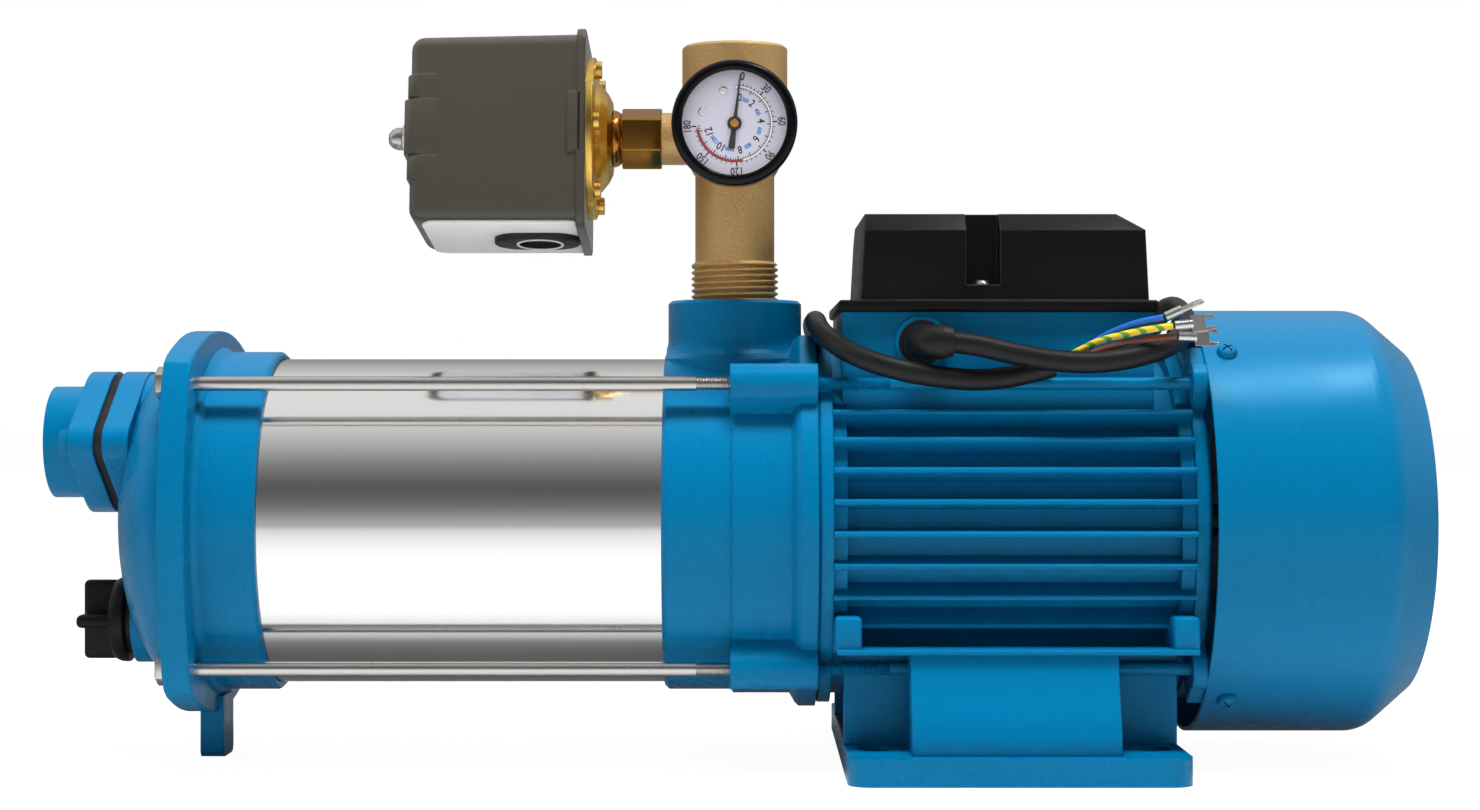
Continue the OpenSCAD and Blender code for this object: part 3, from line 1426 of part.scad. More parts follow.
module switch_screws() {
  color(dark_steel) switch_place() for (k = [0 : 5]) switch_screw_place(k) {
    translate([0, 0, 1 + 0.4]) cylinder(r = 2, h = switch_base_t + 3);
    translate([0, 0, 1 + switch_base_t + 3]) cylinder(r = 3.4, h = 2.2);
  }
}

module switch_base() {
  color("#9a9c9a") switch_place() difference() {
    slab(sw_base0, sw_dome0, 0, switch_z) soft_rect(switch_cover_w, switch_cover_h, switch_edge_r);
    for (k = [0 : 5]) switch_screw_place(k) cylinder(r = 2 + bolt_fit, h = 20);
    bar(sw_base0 - eps, sw_dome0 + eps, 2 + bolt_fit, 0, port_z);
  }
}

module switch_cover() {
  w = switch_cover_w;
  h = switch_cover_h;
  r = switch_edge_r;
  lip = 0.9;
  step_t = switch_step;
  color("#5a564c") switch_place() difference() {
    union() {
      slab(sw_cover0 + 2 * step_t, sw_base0, 0, switch_z) soft_rect(w - 2 * lip, h - 2 * lip, r);
      slab(sw_cover0 + step_t, sw_base0 - 6, 0, switch_z) soft_rect(w - 2 * lip - 3, switch_pad_h, r);
      slab(sw_cover0, sw_base0 - 6, 0, switch_z) soft_rect(w - 2 * lip - 6, switch_boss_h, r);
      slab(sw_base0 - 4, sw_base0, 0, switch_z) soft_rect(w, h, r);
    }
    slab(sw_cover0 + 2 * step_t + switch_wall, sw_base0 + eps, 0, switch_z) {
      soft_rect(w - 2 * lip - 2 * switch_wall, h - 2 * lip - 2 * switch_wall, r - switch_wall / 2);
    }
    bar(sw_cover0 - eps, sw_base0, 2 + bolt_fit, 0, port_z);
    translate([sw_base0 - grommet_back, 0, switch_z - h / 2 - 1]) {
      linear_extrude(6) soft_rect(grommet_l - 3, grommet_w - 3, grommet_w / 2 - 1.6);
      linear_extrude(1 + lip) soft_rect(grommet_l + run, grommet_w + run, grommet_w / 2);
    }
  }
}

module switch_cap_nut() {
  color(steel) switch_place() {
    slab(sw_cover0 - 3.5, sw_cover0, 0, port_z) hexagon(2 * cap_nut_r - 1.6);
    bar(sw_cover0 - 5, sw_cover0 - 3.4, cap_nut_r - 1.4, 0, port_z);
    translate([sw_cover0 - 5, 0, port_z]) sphere(r = cap_nut_r - 1.4);
    bar(sw_cover0 - 1, sw_dome0, 2, 0, port_z);
  }
}

module switch_grommet() {
  neck = [grommet_l - 3 - run, grommet_w - 3 - run];
  neck_end_r = neck[1] / 2 - 0.1;
  color(black) switch_place() {
    translate([sw_base0 - grommet_back, 0, switch_z - switch_cover_h / 2 + 0.9]) difference() {
      union() {
        translate([0, 0, -2.2]) linear_extrude(2.2) soft_rect(grommet_l, grommet_w, grommet_w / 2 - 0.1);
        translate([0, 0, -0.5]) linear_extrude(switch_wall + 1.7) soft_rect(neck[0], neck[1], neck_end_r);
      }
      translate([0, 0, -3]) cylinder(r = 5, h = 12);
    }
  }
}

suction_casing();
inlet_flange();
inlet_bolts();
valve_gasket();
valve_flap();
drain_plug();
drain_seal();
barrel();
barrel_seals();
tie_rods();
diffuser(1);  // diffuser_1
diffuser(2);  // diffuser_2
diffuser(3);  // diffuser_3
diffuser(4);  // diffuser_4
diffuser(5);  // diffuser_5
impeller(1);  // impeller_1
impeller(2);  // impeller_2
impeller(3);  // impeller_3
impeller(4);  // impeller_4
impeller(5);  // impeller_5
shaft_sleeves();
impeller_nut();
outlet_casing();
seal_seat();
seal_rotor();
front_shield();
motor_frame();
foot();
stator();
rotor_core();
shaft();
bearing_outers();
bearing_inners();
through_bolts();
rear_shield();
fan();
fan_cover();
cover_screws();
terminal_lid();
lid_screws();
capacitor();
cable_gland();
power_cord();
wire_earth();
wire_live();
wire_neutral();
fork_terminals();
tee();
gauge_case();
gauge_bezel();
gauge_lens();
gauge_dial();
gauge_needle();
switch_union();
switch_diaphragm();
switch_screws();
switch_base();
switch_cover();
switch_cap_nut();
switch_grommet();
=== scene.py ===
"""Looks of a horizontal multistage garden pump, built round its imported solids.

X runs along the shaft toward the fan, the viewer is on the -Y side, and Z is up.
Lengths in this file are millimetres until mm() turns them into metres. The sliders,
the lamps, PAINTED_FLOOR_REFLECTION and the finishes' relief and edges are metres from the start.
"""

import math

import bmesh
import bpy
from bpy.props import FloatProperty, FloatVectorProperty, IntProperty, PointerProperty
from mathutils import Matrix, Vector


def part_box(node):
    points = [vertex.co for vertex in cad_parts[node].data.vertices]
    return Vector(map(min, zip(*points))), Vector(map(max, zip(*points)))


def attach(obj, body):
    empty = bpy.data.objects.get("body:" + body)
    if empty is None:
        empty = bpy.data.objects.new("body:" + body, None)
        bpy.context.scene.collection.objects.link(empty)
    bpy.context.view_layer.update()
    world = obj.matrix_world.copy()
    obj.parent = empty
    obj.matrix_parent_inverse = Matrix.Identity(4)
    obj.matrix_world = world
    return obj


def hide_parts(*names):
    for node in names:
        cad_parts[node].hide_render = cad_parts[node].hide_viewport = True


bl_info = {
    "name": "Garden pump looks",
    "version": (1, 0, 0),
    "blender": (4, 5, 0),
    "location": "View3D > Sidebar > Garden pump",
    "description": "Finishes and fine pieces for a multistage garden pump",
    "category": "Object",
}

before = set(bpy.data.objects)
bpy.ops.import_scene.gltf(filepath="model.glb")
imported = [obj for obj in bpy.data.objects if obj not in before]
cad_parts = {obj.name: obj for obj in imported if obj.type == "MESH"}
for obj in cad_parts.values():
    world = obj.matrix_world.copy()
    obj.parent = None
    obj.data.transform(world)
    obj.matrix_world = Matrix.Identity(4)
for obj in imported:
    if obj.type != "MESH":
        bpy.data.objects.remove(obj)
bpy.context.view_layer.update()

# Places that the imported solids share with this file
SHAFT_Z = 90.0
TEE_X = -101.0
PORT_Z = 236.5
ROD_OFF = 52.0
GAUGE_FACE = -60.0
SWITCH_ROLL = math.radians(-8.5)
COVER_RADIUS = 80.4

# Tint of the blue paint's gloss, and the tolerance of comparisons in metres
SHEEN = (0.22, 0.72, 1.0)
TINY = 1e-6


def mm(value):
    """Millimetres as metres, for a number or a point."""
    if isinstance(value, (int, float)):
        return value * 0.001
    return Vector(value) * 0.001


def node_box(name):
    """Lowest and highest corners of a solid, in millimetres."""
    low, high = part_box(name)
    return Vector(low) * 1000, Vector(high) * 1000


def length_slider(name, description, default, low, high):
    """Property for a small length in metres."""
    return FloatProperty(name=name, description=description, default=default, min=low, max=high, unit="LENGTH")


def colour_picker(name, description, default):
    """Property for a colour as it renders."""
    return FloatVectorProperty(
        name=name, description=description, subtype="COLOR", size=3, default=default, min=0.0, max=1.0,
    )


class PumpSizes(bpy.types.PropertyGroup):
    """Sizes of the fine pieces."""

    cord_diameter: length_slider("Cable diameter", "Outer diameter of the power cable's sheath", 0.008, 0.004, 0.009)
    core_diameter: length_slider("Core diameter", "Outer diameter of each insulated core", 0.0026, 0.0015, 0.003)
    pipe_pitch: length_slider("Pipe thread pitch", "Distance from one ridge of the tee's thread to the next",
                              0.002309, 0.001, 0.004)
    rod_pitch: length_slider("Rod thread pitch", "Distance from one ridge of the rods' thread to the next",
                             0.001, 0.0005, 0.002)
    dial_figures: length_slider("Dial figures", "Size of the figures printed on the gauge's dial", 0.0039, 0.002, 0.005)
    round_steps: IntProperty(
        name="Steps round a turned piece", description="Faces round the turned pieces", default=96, min=24, max=256,
    )


class PumpColours(bpy.types.PropertyGroup):
    """Colours of the finishes, as they render."""

    paint: colour_picker("Blue paint", "Enamel on the castings and the motor", (0.0, 0.130, 0.286))
    brass: colour_picker("Brass", "Cast and turned brass", (0.64, 0.41, 0.17))
    cover: colour_picker("Switch cover", "Warm grey enamel on the pressure switch", (0.048, 0.042, 0.032))
    black: colour_picker("Black plastic", "Moulded lid, plug and bezel", (0.003, 0.0025, 0.003))
    dial: colour_picker("Dial", "Face of the gauge", (0.60, 0.59, 0.70))


def sizes():
    return bpy.context.scene.garden_pump_sizes


def colours():
    return bpy.context.scene.garden_pump_colours


# Node helpers


def feed(tree, node, **inputs):
    """Sets inputs by number (in_0) or name (Base_Color); a node or a socket as value is linked."""
    for key, value in inputs.items():
        label = int(key[3:]) if key.startswith("in_") else key.replace("_", " ")
        if isinstance(value, bpy.types.Node):
            value = value.outputs[0]
        if isinstance(value, bpy.types.NodeSocket):
            tree.links.new(value, node.inputs[label])
        else:
            node.inputs[label].default_value = value
    return node


def add_node(tree, kind, place, **values):
    """One shader node with its settings, and its inputs as feed() takes them."""
    node = tree.nodes.new("ShaderNode" + kind)
    node.location = place
    for key in [key for key in values if key.islower() and not key.startswith("in_")]:
        setattr(node, key, values.pop(key))
    return feed(tree, node, **values)


def multiplied(tree, place, value, factor):
    return add_node(tree, "Math", place, operation="MULTIPLY", in_0=value, in_1=factor)


def map_range(tree, place, value, low, high, start=0.0, end=1.0):
    """Takes the span from low to high to the one from start to end."""
    return add_node(tree, "MapRange", place, in_0=value, in_1=low, in_2=high, in_3=start, in_4=end)


def grey_ramp(tree, place, value, stops):
    """Colour ramp of grey stops (position, value)."""
    node = add_node(tree, "ValToRGB", place, in_0=value)
    elements = node.color_ramp.elements
    for position, _ in stops[1:-1]:
        elements.new(position)
    for element, (position, grey) in zip(elements, stops):
        element.position = position
        element.color = (grey, grey, grey, 1.0)
    return node


def new_group(name, inputs, outputs):
    """Empty shader group with named sockets: the group, its input sockets and its sink."""
    group = bpy.data.node_groups.new(name, "ShaderNodeTree")
    for label, kind, value in inputs:
        socket = group.interface.new_socket(name=label, in_out="INPUT", socket_type="NodeSocket" + kind)
        if value is not None:
            socket.default_value = value
    for label, kind in outputs:
        group.interface.new_socket(name=label, in_out="OUTPUT", socket_type="NodeSocket" + kind)
    source = group.nodes.new("NodeGroupInput")
    source.location = (-900, 0)
    sink = group.nodes.new("NodeGroupOutput")
    sink.location = (700, 0)
    return group, source.outputs, sink


def grain_group():
    """Fine and coarse relief of a cast or moulded skin."""
    group, source, sink = new_group(
        "skin_grain",
        [("Vector", "Vector", None), ("Fine", "Float", 900.0), ("Coarse", "Float", 60.0), ("Mix", "Float", 0.5)],
        [("Height", "Float"), ("Coarse Height", "Float")],
    )
    fine, coarse = (
        add_node(group, "TexNoise", (-600, y), Detail=detail, Vector=source["Vector"], Scale=source[label])
        for y, detail, label in ((160, 3.0, "Fine"), (-160, 2.0, "Coarse"))
    )
    blend = add_node(group, "Mix", (-200, 60), data_type="FLOAT", in_0=source["Mix"], in_2=fine, in_3=coarse)
    feed(group, sink, Height=blend, Coarse_Height=coarse)
    return group


def drift_group():
    """Slow change of a colour over a surface, with darker and lighter patches."""
    group, source, sink = new_group(
        "tone_drift",
        [("Vector", "Vector", None), ("Colour", "Color", (0.5, 0.5, 0.5, 1.0)), ("Scale", "Float", 12.0),
         ("Amount", "Float", 0.1)],
        [("Colour", "Color"), ("Patch", "Float")],
    )
    noise = add_node(group, "TexNoise", (-650, 0), Detail=4.0, Vector=source["Vector"], Scale=source["Scale"])
    centred = add_node(group, "Math", (-450, 0), operation="SUBTRACT", in_0=noise, in_1=0.5)
    scaled = multiplied(group, (-280, 0), centred, source["Amount"])
    lift = add_node(group, "Math", (-110, 0), operation="ADD", in_0=scaled, in_1=1.0)
    tone = add_node(group, "HueSaturation", (120, 0), Value=lift, Color=source["Colour"])
    feed(group, sink, Colour=tone, Patch=noise)
    return group


def soft_edge_group():
    """Rounds sharp edges in the shading and gives a mask of them for an edge colour: wear, and a painted highlight
    along the edges.
    """
    group, source, sink = new_group(
        "soft_edge", [("Radius", "Float", 0.0006)], [("Normal", "Vector"), ("Edge", "Float")],
    )
    bevel = add_node(group, "Bevel", (-500, 0), samples=4, Radius=source["Radius"])
    real = add_node(group, "NewGeometry", (-500, -200))
    dot = add_node(group, "VectorMath", (-250, -100), operation="DOT_PRODUCT", in_0=bevel, in_1=real.outputs["Normal"])
    feed(group, sink, Normal=bevel, Edge=map_range(group, (0, -100), dot.outputs["Value"], 0.99, 0.8))
    return group


def place_group(tree, name, place, **inputs):
    """A shader group in a tree, built on its first use."""
    makers = {"skin_grain": grain_group, "tone_drift": drift_group, "soft_edge": soft_edge_group}
    group = bpy.data.node_groups.get(name) or makers[name]()
    return add_node(tree, "Group", place, node_tree=group, **inputs)


def new_material(name):
    """Material with a Principled shader and object coordinates."""
    material = bpy.data.materials.new(name)
    material.use_nodes = True
    tree = material.node_tree
    coords = add_node(tree, "TexCoord", (-1300, 0))
    return material, tree, tree.nodes["Principled BSDF"], coords.outputs["Object"]


def skin(name, colour, rough, spread, metal=0.0, fine=900.0, coarse=60.0, mix=0.5, relief=0.00008, drift=0.12,
         drift_scale=14.0, edge=0.0006, edge_colour=None, coat=0.0, specular=0.5, tint=(1.0, 1.0, 1.0)):
    """A painted, moulded or cast skin: drifting colour, uneven gloss, grain and soft edges."""
    material, tree, shader, coords = new_material(name)
    tone = place_group(tree, "tone_drift", (-900, 300), Vector=coords, Colour=(*colour, 1.0), Scale=drift_scale,
                       Amount=drift)
    grain = place_group(tree, "skin_grain", (-900, -100), Vector=coords, Fine=fine, Coarse=coarse, Mix=mix)
    soft = place_group(tree, "soft_edge", (-900, -400), Radius=edge)
    base = tone.outputs["Colour"]
    # Edge colour along sharp edges: worn edges, and on the cast brass and the black lid a painted highlight
    if edge_colour:
        amount = multiplied(tree, (-700, 120), soft.outputs["Edge"], 0.6)
        edge_wear_and_highlight = add_node(tree, "Mix", (-500, 300), data_type="RGBA", in_0=amount, in_6=base, in_7=(*edge_colour, 1.0))
        base = edge_wear_and_highlight.outputs[2]
    gloss = map_range(tree, (-500, 0), grain.outputs["Coarse Height"], 0.3, 0.7, rough - spread, rough + spread)
    bump = add_node(tree, "Bump", (-300, -300), Strength=1.0, Distance=relief, Height=grain.outputs["Height"],
                    Normal=soft.outputs["Normal"])
    feed(tree, shader, Base_Color=base, Roughness=gloss, Normal=bump, Metallic=metal, Coat_Weight=coat,
         Coat_Roughness=0.12, Specular_IOR_Level=specular, Specular_Tint=(*tint, 1.0))
    return material


def brushed(name, colour, rough, stretch, fine=300.0, relief=0.00001, drift=0.05):
    """Drawn or polished metal with fine lines along one direction."""
    material, tree, shader, coords = new_material(name)
    mapping = add_node(tree, "Mapping", (-1100, 0), Vector=coords, Scale=stretch)
    grain = place_group(tree, "skin_grain", (-850, -100), Vector=mapping, Fine=fine, Coarse=fine * 0.2, Mix=0.35)
    tone = place_group(tree, "tone_drift", (-850, 300), Vector=mapping, Colour=(*colour, 1.0), Scale=40.0, Amount=drift)
    soft = place_group(tree, "soft_edge", (-850, -400), Radius=0.0003)
    height = grain.outputs["Height"]
    gloss = map_range(tree, (-500, 0), height, 0.3, 0.7, rough * 0.75, rough * 1.3)
    bump = add_node(tree, "Bump", (-300, -300), Distance=relief, Height=height, Normal=soft.outputs["Normal"])
    feed(tree, shader, Base_Color=tone.outputs["Colour"], Roughness=gloss, Normal=bump, Metallic=1.0)
    return material


def clear_glass(name):
    """Thin clear lens with faint smears."""
    material, tree, shader, coords = new_material(name)
    smear = place_group(tree, "tone_drift", (-700, 200), Vector=coords, Scale=90.0)
    haze = map_range(tree, (-400, 0), smear.outputs["Patch"], 0.4, 0.8, 0.0, 0.04)
    feed(tree, shader, Roughness=haze, Base_Color=(1.0, 1.0, 1.0, 1.0), Transmission_Weight=1.0, IOR=1.12)
    return material


def core_stripes(name):
    """Green insulation with a yellow stripe that winds along the core."""
    material, tree, shader, coords = new_material(name)
    wave = add_node(tree, "TexWave", (-900, 200), bands_direction="DIAGONAL", Scale=110.0, Distortion=0.4,
                    Vector=coords)
    cut = map_range(tree, (-650, 200), wave.outputs["Fac"], 0.24, 0.36)
    stripe = add_node(tree, "Mix", (-400, 200), data_type="RGBA", in_0=cut, in_6=(0.10, 0.24, 0.03, 1.0),
                      in_7=(0.66, 0.46, 0.03, 1.0))
    feed(tree, shader, Base_Color=stripe.outputs[2], Roughness=0.35)
    return material


# Colour, roughness and the stretch of the lines, then what differs from brushed()
METALS = {
    "barrel_steel": ((0.90, 0.89, 0.89), 0.11, (0.02, 1, 1), dict(fine=900, relief=0.000002, drift=0.02)),
    "drawn_steel": ((0.62, 0.60, 0.57), 0.26, (0.03, 1, 1), dict(fine=1200, relief=0.000006)),
    "turned_steel": ((0.60, 0.59, 0.57), 0.3, (1, 1, 1), dict(fine=900)),
    "stamped_steel": ((0.58, 0.58, 0.58), 0.34, (1, 0.1, 0.1), dict(fine=500)),
    "crimp_tin": ((0.72, 0.71, 0.69), 0.25, (1, 1, 1), dict(fine=1500, relief=0.00002)),
    "zinc_plate": ((0.52, 0.52, 0.50), 0.34, (1, 1, 1), dict(fine=350)),
    "core_laminate": ((0.32, 0.32, 0.33), 0.4, (14, 0.2, 0.2), dict(relief=0.00003)),
}
INKS = {
    "ink_black": (0.01, 0.01, 0.012),
    "ink_red": (0.42, 0.012, 0.02),
    "ink_maroon": (0.085, 0.008, 0.018),
    "ink_white": (0.88, 0.88, 0.88),
    "ink_blue": (0.01, 0.19, 0.55),
}


def skin_settings():
    """Colour, roughness and its spread, then what differs from skin(), for each painted or moulded finish."""
    paint, brass, black = (tuple(c) for c in (colours().paint, colours().brass, colours().black))
    core = dict(fine=1500, relief=0.00003, edge=0.0002)
    table = {
        "cast_blue": (paint, 0.30, 0.05, dict(
            fine=700, coarse=150, mix=0.55, relief=0.00022, drift=0.10, edge=0.0011, specular=0.4, tint=SHEEN)),
        "frame_blue": (paint, 0.33, 0.05, dict(
            coarse=120, mix=0.45, relief=0.00012, drift=0.08, edge=0.0007, specular=0.38, tint=SHEEN)),
        "sheet_blue": (paint, 0.27, 0.03, dict(
            fine=1200, coarse=40, relief=0.00005, drift=0.05, edge=0.0007, specular=0.45, tint=SHEEN)),
        "bolt_blue": (tuple(c * 0.9 for c in paint), 0.35, 0.06, dict(
            fine=1500, coarse=200, relief=0.00006, drift=0.2, drift_scale=120, edge=0.0003, tint=SHEEN)),
        # Lighter edges of the cast brass: a painted highlight of the bright surroundings
        "cast_brass": (tuple(c * 1.08 for c in brass), 0.42, 0.06, dict(
            metal=0.8, fine=2400, coarse=900, relief=0.0004, drift=0.5, drift_scale=1100,
            edge_colour=(0.75, 0.55, 0.27))),
        "turned_brass": ((brass[0] * 0.62, brass[1] * 0.46, brass[2] * 0.2), 0.2, 0.04, dict(
            metal=1.0, fine=1800, coarse=300, relief=0.00003, drift=0.15, drift_scale=90, edge=0.0005,
            edge_colour=(0.85, 0.62, 0.3))),
        "gold_zinc": ((0.86, 0.56, 0.12), 0.25, 0.06, dict(
            metal=1.0, fine=1200, coarse=160, relief=0.00003, drift=0.3, drift_scale=60, edge=0.0005,
            edge_colour=(0.85, 0.65, 0.3))),
        "cover_enamel": (tuple(colours().cover), 0.36, 0.05, dict(
            fine=1100, coarse=90, relief=0.00005, drift=0.06, edge=0.0009, coat=0.35, specular=0.45)),
        "pale_steel": ((0.80, 0.79, 0.79), 0.35, 0.04, dict(relief=0.00002, drift=0.04, edge=0.0004, specular=0.4)),
        # Pale edge lines of the lid: a painted highlight
        "lid_plastic": (black, 0.42, 0.05, dict(
            fine=1600, coarse=250, mix=0.3, relief=0.00006, drift=0.2, edge=0.0007,
            edge_colour=(0.09, 0.09, 0.095), specular=0.2)),
        "plug_plastic": (black, 0.45, 0.06, dict(
            fine=1600, coarse=250, mix=0.4, relief=0.0001, drift=0.2, edge=0.0008, specular=0.25)),
        "bezel_plastic": ((0.001, 0.001, 0.002), 0.2, 0.03, dict(
            fine=1500, relief=0.00002, drift=0.1, edge=0.0005, specular=0.2)),
        "soft_rubber": ((0.008, 0.008, 0.009), 0.6, 0.08, dict(
            fine=1300, coarse=200, mix=0.4, relief=0.00012, drift=0.25, edge=0.0005)),
        "cord_rubber": ((0.007, 0.007, 0.007), 0.42, 0.06, dict(
            fine=1500, coarse=180, mix=0.4, relief=0.00006, drift=0.25, edge=0.0004, specular=0.3)),
        "core_live": ((0.13, 0.035, 0.018), 0.35, 0.06, core),
        "core_neutral": ((0.01, 0.10, 0.42), 0.35, 0.06, core),
        "dial_enamel": (tuple(colours().dial), 0.45, 0.04, dict(relief=0.000004, drift=0.03, edge=0.0002)),
        "needle_black": ((0.008, 0.008, 0.009), 0.35, 0.04, dict(relief=0.000004, edge=0.0001)),
        "seal_ceramic": ((0.72, 0.68, 0.6), 0.25, 0.04, dict(relief=0.00001)),
        "seal_carbon": ((0.03, 0.03, 0.032), 0.3, 0.05, dict(relief=0.00001)),
        "capacitor_shell": ((0.62, 0.62, 0.6), 0.45, 0.05, dict(relief=0.00003)),
        "fan_plastic": ((0.016, 0.016, 0.018), 0.45, 0.05, dict(relief=0.00006, drift=0.2)),
    }
    for name, ink in INKS.items():
        table[name] = (ink, 0.5, 0.04, dict(relief=0.000003, edge=0.0001))
    return table


def finish(name):
    """The finish of that name, built on its first use."""
    made = bpy.data.materials.get(name)
    if made:
        return made
    special = {"core_earth": core_stripes, "lens_glass": clear_glass}
    if name in special:
        return special[name](name)
    maker, table = (brushed, METALS) if name in METALS else (skin, skin_settings())
    *basics, rest = table[name]
    return maker(name, *basics, **rest)


# Mesh helpers


def drop_old(name):
    """Removes a piece of that name, so that an operator can be run again."""
    old = bpy.data.objects.get(name)
    if old:
        bpy.data.objects.remove(old, do_unlink=True)


def link_piece(name, data, body, replaces):
    """Puts a mesh or a curve in the scene as one piece of the pump."""
    piece = bpy.data.objects.new(name, data)
    bpy.context.scene.collection.objects.link(piece)
    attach(piece, body)
    if replaces:
        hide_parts(*replaces)
    return piece


def add_piece(name, mesh, material, replaces=(), body="pump"):
    """One piece of the pump, with one finish."""
    drop_old(name)
    mesh.materials.clear()
    mesh.materials.append(finish(material))
    return link_piece(name, mesh, body, replaces)


def add_joined(name, meshes, sharp, material, replaces=(), body="pump"):
    """One piece of the pump out of several meshes."""
    return add_piece(name, join_meshes(name, meshes, sharp), material, replaces, body)


def plain_mesh(bm, name):
    """A bmesh as a mesh, with its faces as they are."""
    mesh = bpy.data.meshes.new(name)
    bm.to_mesh(mesh)
    bm.free()
    return mesh


def shaded_mesh(bm, name, sharp):
    """A bmesh as a mesh, smooth apart from edges sharper than an angle in degrees."""
    limit = math.radians(sharp)
    for face in bm.faces:
        face.smooth = True
    for edge in bm.edges:
        edge.smooth = len(edge.link_faces) == 2 and edge.calc_face_angle(0.0) < limit
    return plain_mesh(bm, name)


def close_mesh(bm, name, sharp=35.0):
    """A bmesh as a mesh with joined corners and outward faces."""
    bmesh.ops.remove_doubles(bm, verts=bm.verts, dist=TINY)
    bmesh.ops.recalc_face_normals(bm, faces=bm.faces)
    return shaded_mesh(bm, name, sharp)


def join_meshes(name, meshes, sharp=35.0):
    """Several meshes as one, each keeping its own closed shell."""
    bm = bmesh.new()
    for mesh in meshes:
        bm.from_mesh(mesh)
        bpy.data.meshes.remove(mesh)
    return shaded_mesh(bm, name, sharp)


def cut_away(piece_mesh, cutter_mesh, name):
    """One closed mesh cut out of another, kept as plain faces."""
    solid = bpy.data.objects.new("cut_solid", piece_mesh)
    tool = bpy.data.objects.new("cut_tool", cutter_mesh)
    for obj in (solid, tool):
        bpy.context.scene.collection.objects.link(obj)
    modifier = solid.modifiers.new("cut", "BOOLEAN")
    modifier.operation = "DIFFERENCE"
    modifier.solver = "EXACT"
    modifier.object = tool
    graph = bpy.context.evaluated_depsgraph_get()
    result = bpy.data.meshes.new_from_object(solid.evaluated_get(graph), depsgraph=graph)
    for obj in (solid, tool):
        bpy.data.objects.remove(obj, do_unlink=True)
    bm = bmesh.new()
    bm.from_mesh(result)
    bpy.data.meshes.remove(result)
    return close_mesh(bm, name, 30.0)


def move(bm, matrix, verts=None):
    bmesh.ops.transform(bm, matrix=matrix, verts=list(verts or bm.verts))


def spun(axis, degrees):
    return Matrix.Rotation(math.radians(degrees), 4, axis)


def upright(x, y, z):
    return Matrix.Translation(mm((x, y, z)))


def along_x(x, y=0.0, z=SHAFT_Z):
    """Takes local Z to the shaft's direction, at a place in millimetres."""
    return upright(x, y, z) @ spun("Y", 90)


def toward_viewer(x, y, z):
    """Takes local Z to the viewer, with local X to the right and local Y up."""
    return upright(x, y, z) @ spun("X", 90)


def rolled(matrix):
    """Rolls a placed piece with the pressure switch, about the port's axis."""
    pivot = upright(0, 0, PORT_Z)
    return pivot @ Matrix.Rotation(SWITCH_ROLL, 4, "X") @ pivot.inverted() @ matrix


def turned_mesh(name, profile, matrix, steps=None, sharp=35.0):
    """Spins a profile of (radius, height) points in millimetres about local Z into a closed solid."""
    bm = bmesh.new()
    start = [bm.verts.new(mm((r, 0.0, h))) for r, h in profile]
    edges = [bm.edges.new(pair) for pair in zip(start, start[1:])]
    if min(profile[0][0], profile[-1][0]) > TINY:
        edges.append(bm.edges.new((start[-1], start[0])))
    bmesh.ops.spin(
        bm, geom=start + edges, cent=(0, 0, 0), axis=(0, 0, 1), dvec=(0, 0, 0),
        angle=math.tau, steps=steps or sizes().round_steps, use_merge=True, use_duplicate=False,
    )
    bmesh.ops.remove_doubles(bm, verts=bm.verts, dist=TINY)
    move(bm, matrix)
    return close_mesh(bm, name, sharp)


def rounded(corner_r, points, steps=4):
    """A profile with its inner points rounded by short arcs of one radius."""
    out = [points[0]]
    for before, here, after in zip(points, points[1:], points[2:]):
        a, b, c = Vector(before), Vector(here), Vector(after)
        back, on = (a - b), (c - b)
        r = min(corner_r, back.length * 0.45, on.length * 0.45)
        back.normalize()
        on.normalize()
        for i in range(steps + 1):
            t = i / steps
            p = (b + back * r) * (1 - t) ** 2 + b * 2 * t * (1 - t) + (b + on * r) * t ** 2
            out.append((p.x, p.y))
    out.append(points[-1])
    return out


def round_edges(bm, edges, radius, segments=5):
    bmesh.ops.bevel(
        bm, geom=edges, offset=mm(radius), offset_type="OFFSET", segments=segments, profile=0.5,
        affect="EDGES", clamp_overlap=True, material=-1,
    )


def bevel_edges(bm, width, segments=2, angle=30.0):
    """Rounds every edge that is sharper than an angle in degrees."""
    limit = math.radians(angle)
    edges = [e for e in bm.edges if len(e.link_faces) == 2 and e.calc_face_angle(0.0) > limit]
    round_edges(bm, edges, width, segments)


def edges_where(bm, test):
    """Edges whose two ends pass a test."""
    return [e for e in bm.edges if test(e.verts[0].co, e.verts[1].co)]


def same(a, b, axes):
    return all(abs(a[i] - b[i]) < TINY for i in axes)


def along_x_edge(a, b):
    return same(a, b, (1, 2))


def box_into(bm, low, high):
    """Box between two corners in millimetres, added to a bmesh."""
    low, high = Vector(low), Vector(high)
    made = bmesh.ops.create_cube(bm, size=1.0)["verts"]
    size = Matrix.Diagonal((*(mm(high - low)), 1.0))
    move(bm, Matrix.Translation(mm((low + high) / 2)) @ size, made)
    return made


def rounded_box(bm, low, high, radius, segments=5):
    """Box with every edge rounded, added to a bmesh."""
    part = bmesh.new()
    box_into(part, low, high)
    round_edges(part, part.edges[:], radius, segments)
    mesh = plain_mesh(part, "part")
    bm.from_mesh(mesh)
    bpy.data.meshes.remove(mesh)


def box_mesh(name, low, high, radius, segments, sharp=40):
    """Closed box with every edge rounded."""
    bm = bmesh.new()
    rounded_box(bm, low, high, radius, segments)
    return close_mesh(bm, name, sharp)


def cornered_box(name, low, high, test, radius, bevel=0.0, sharp=40, segments=5, bevel_segments=2):
    """Closed box with the edges that pass a test rounded, and then all its sharp edges bevelled."""
    bm = bmesh.new()
    box_into(bm, low, high)
    round_edges(bm, edges_where(bm, test), radius, segments)
    if bevel:
        bevel_edges(bm, bevel, bevel_segments)
    return close_mesh(bm, name, sharp)


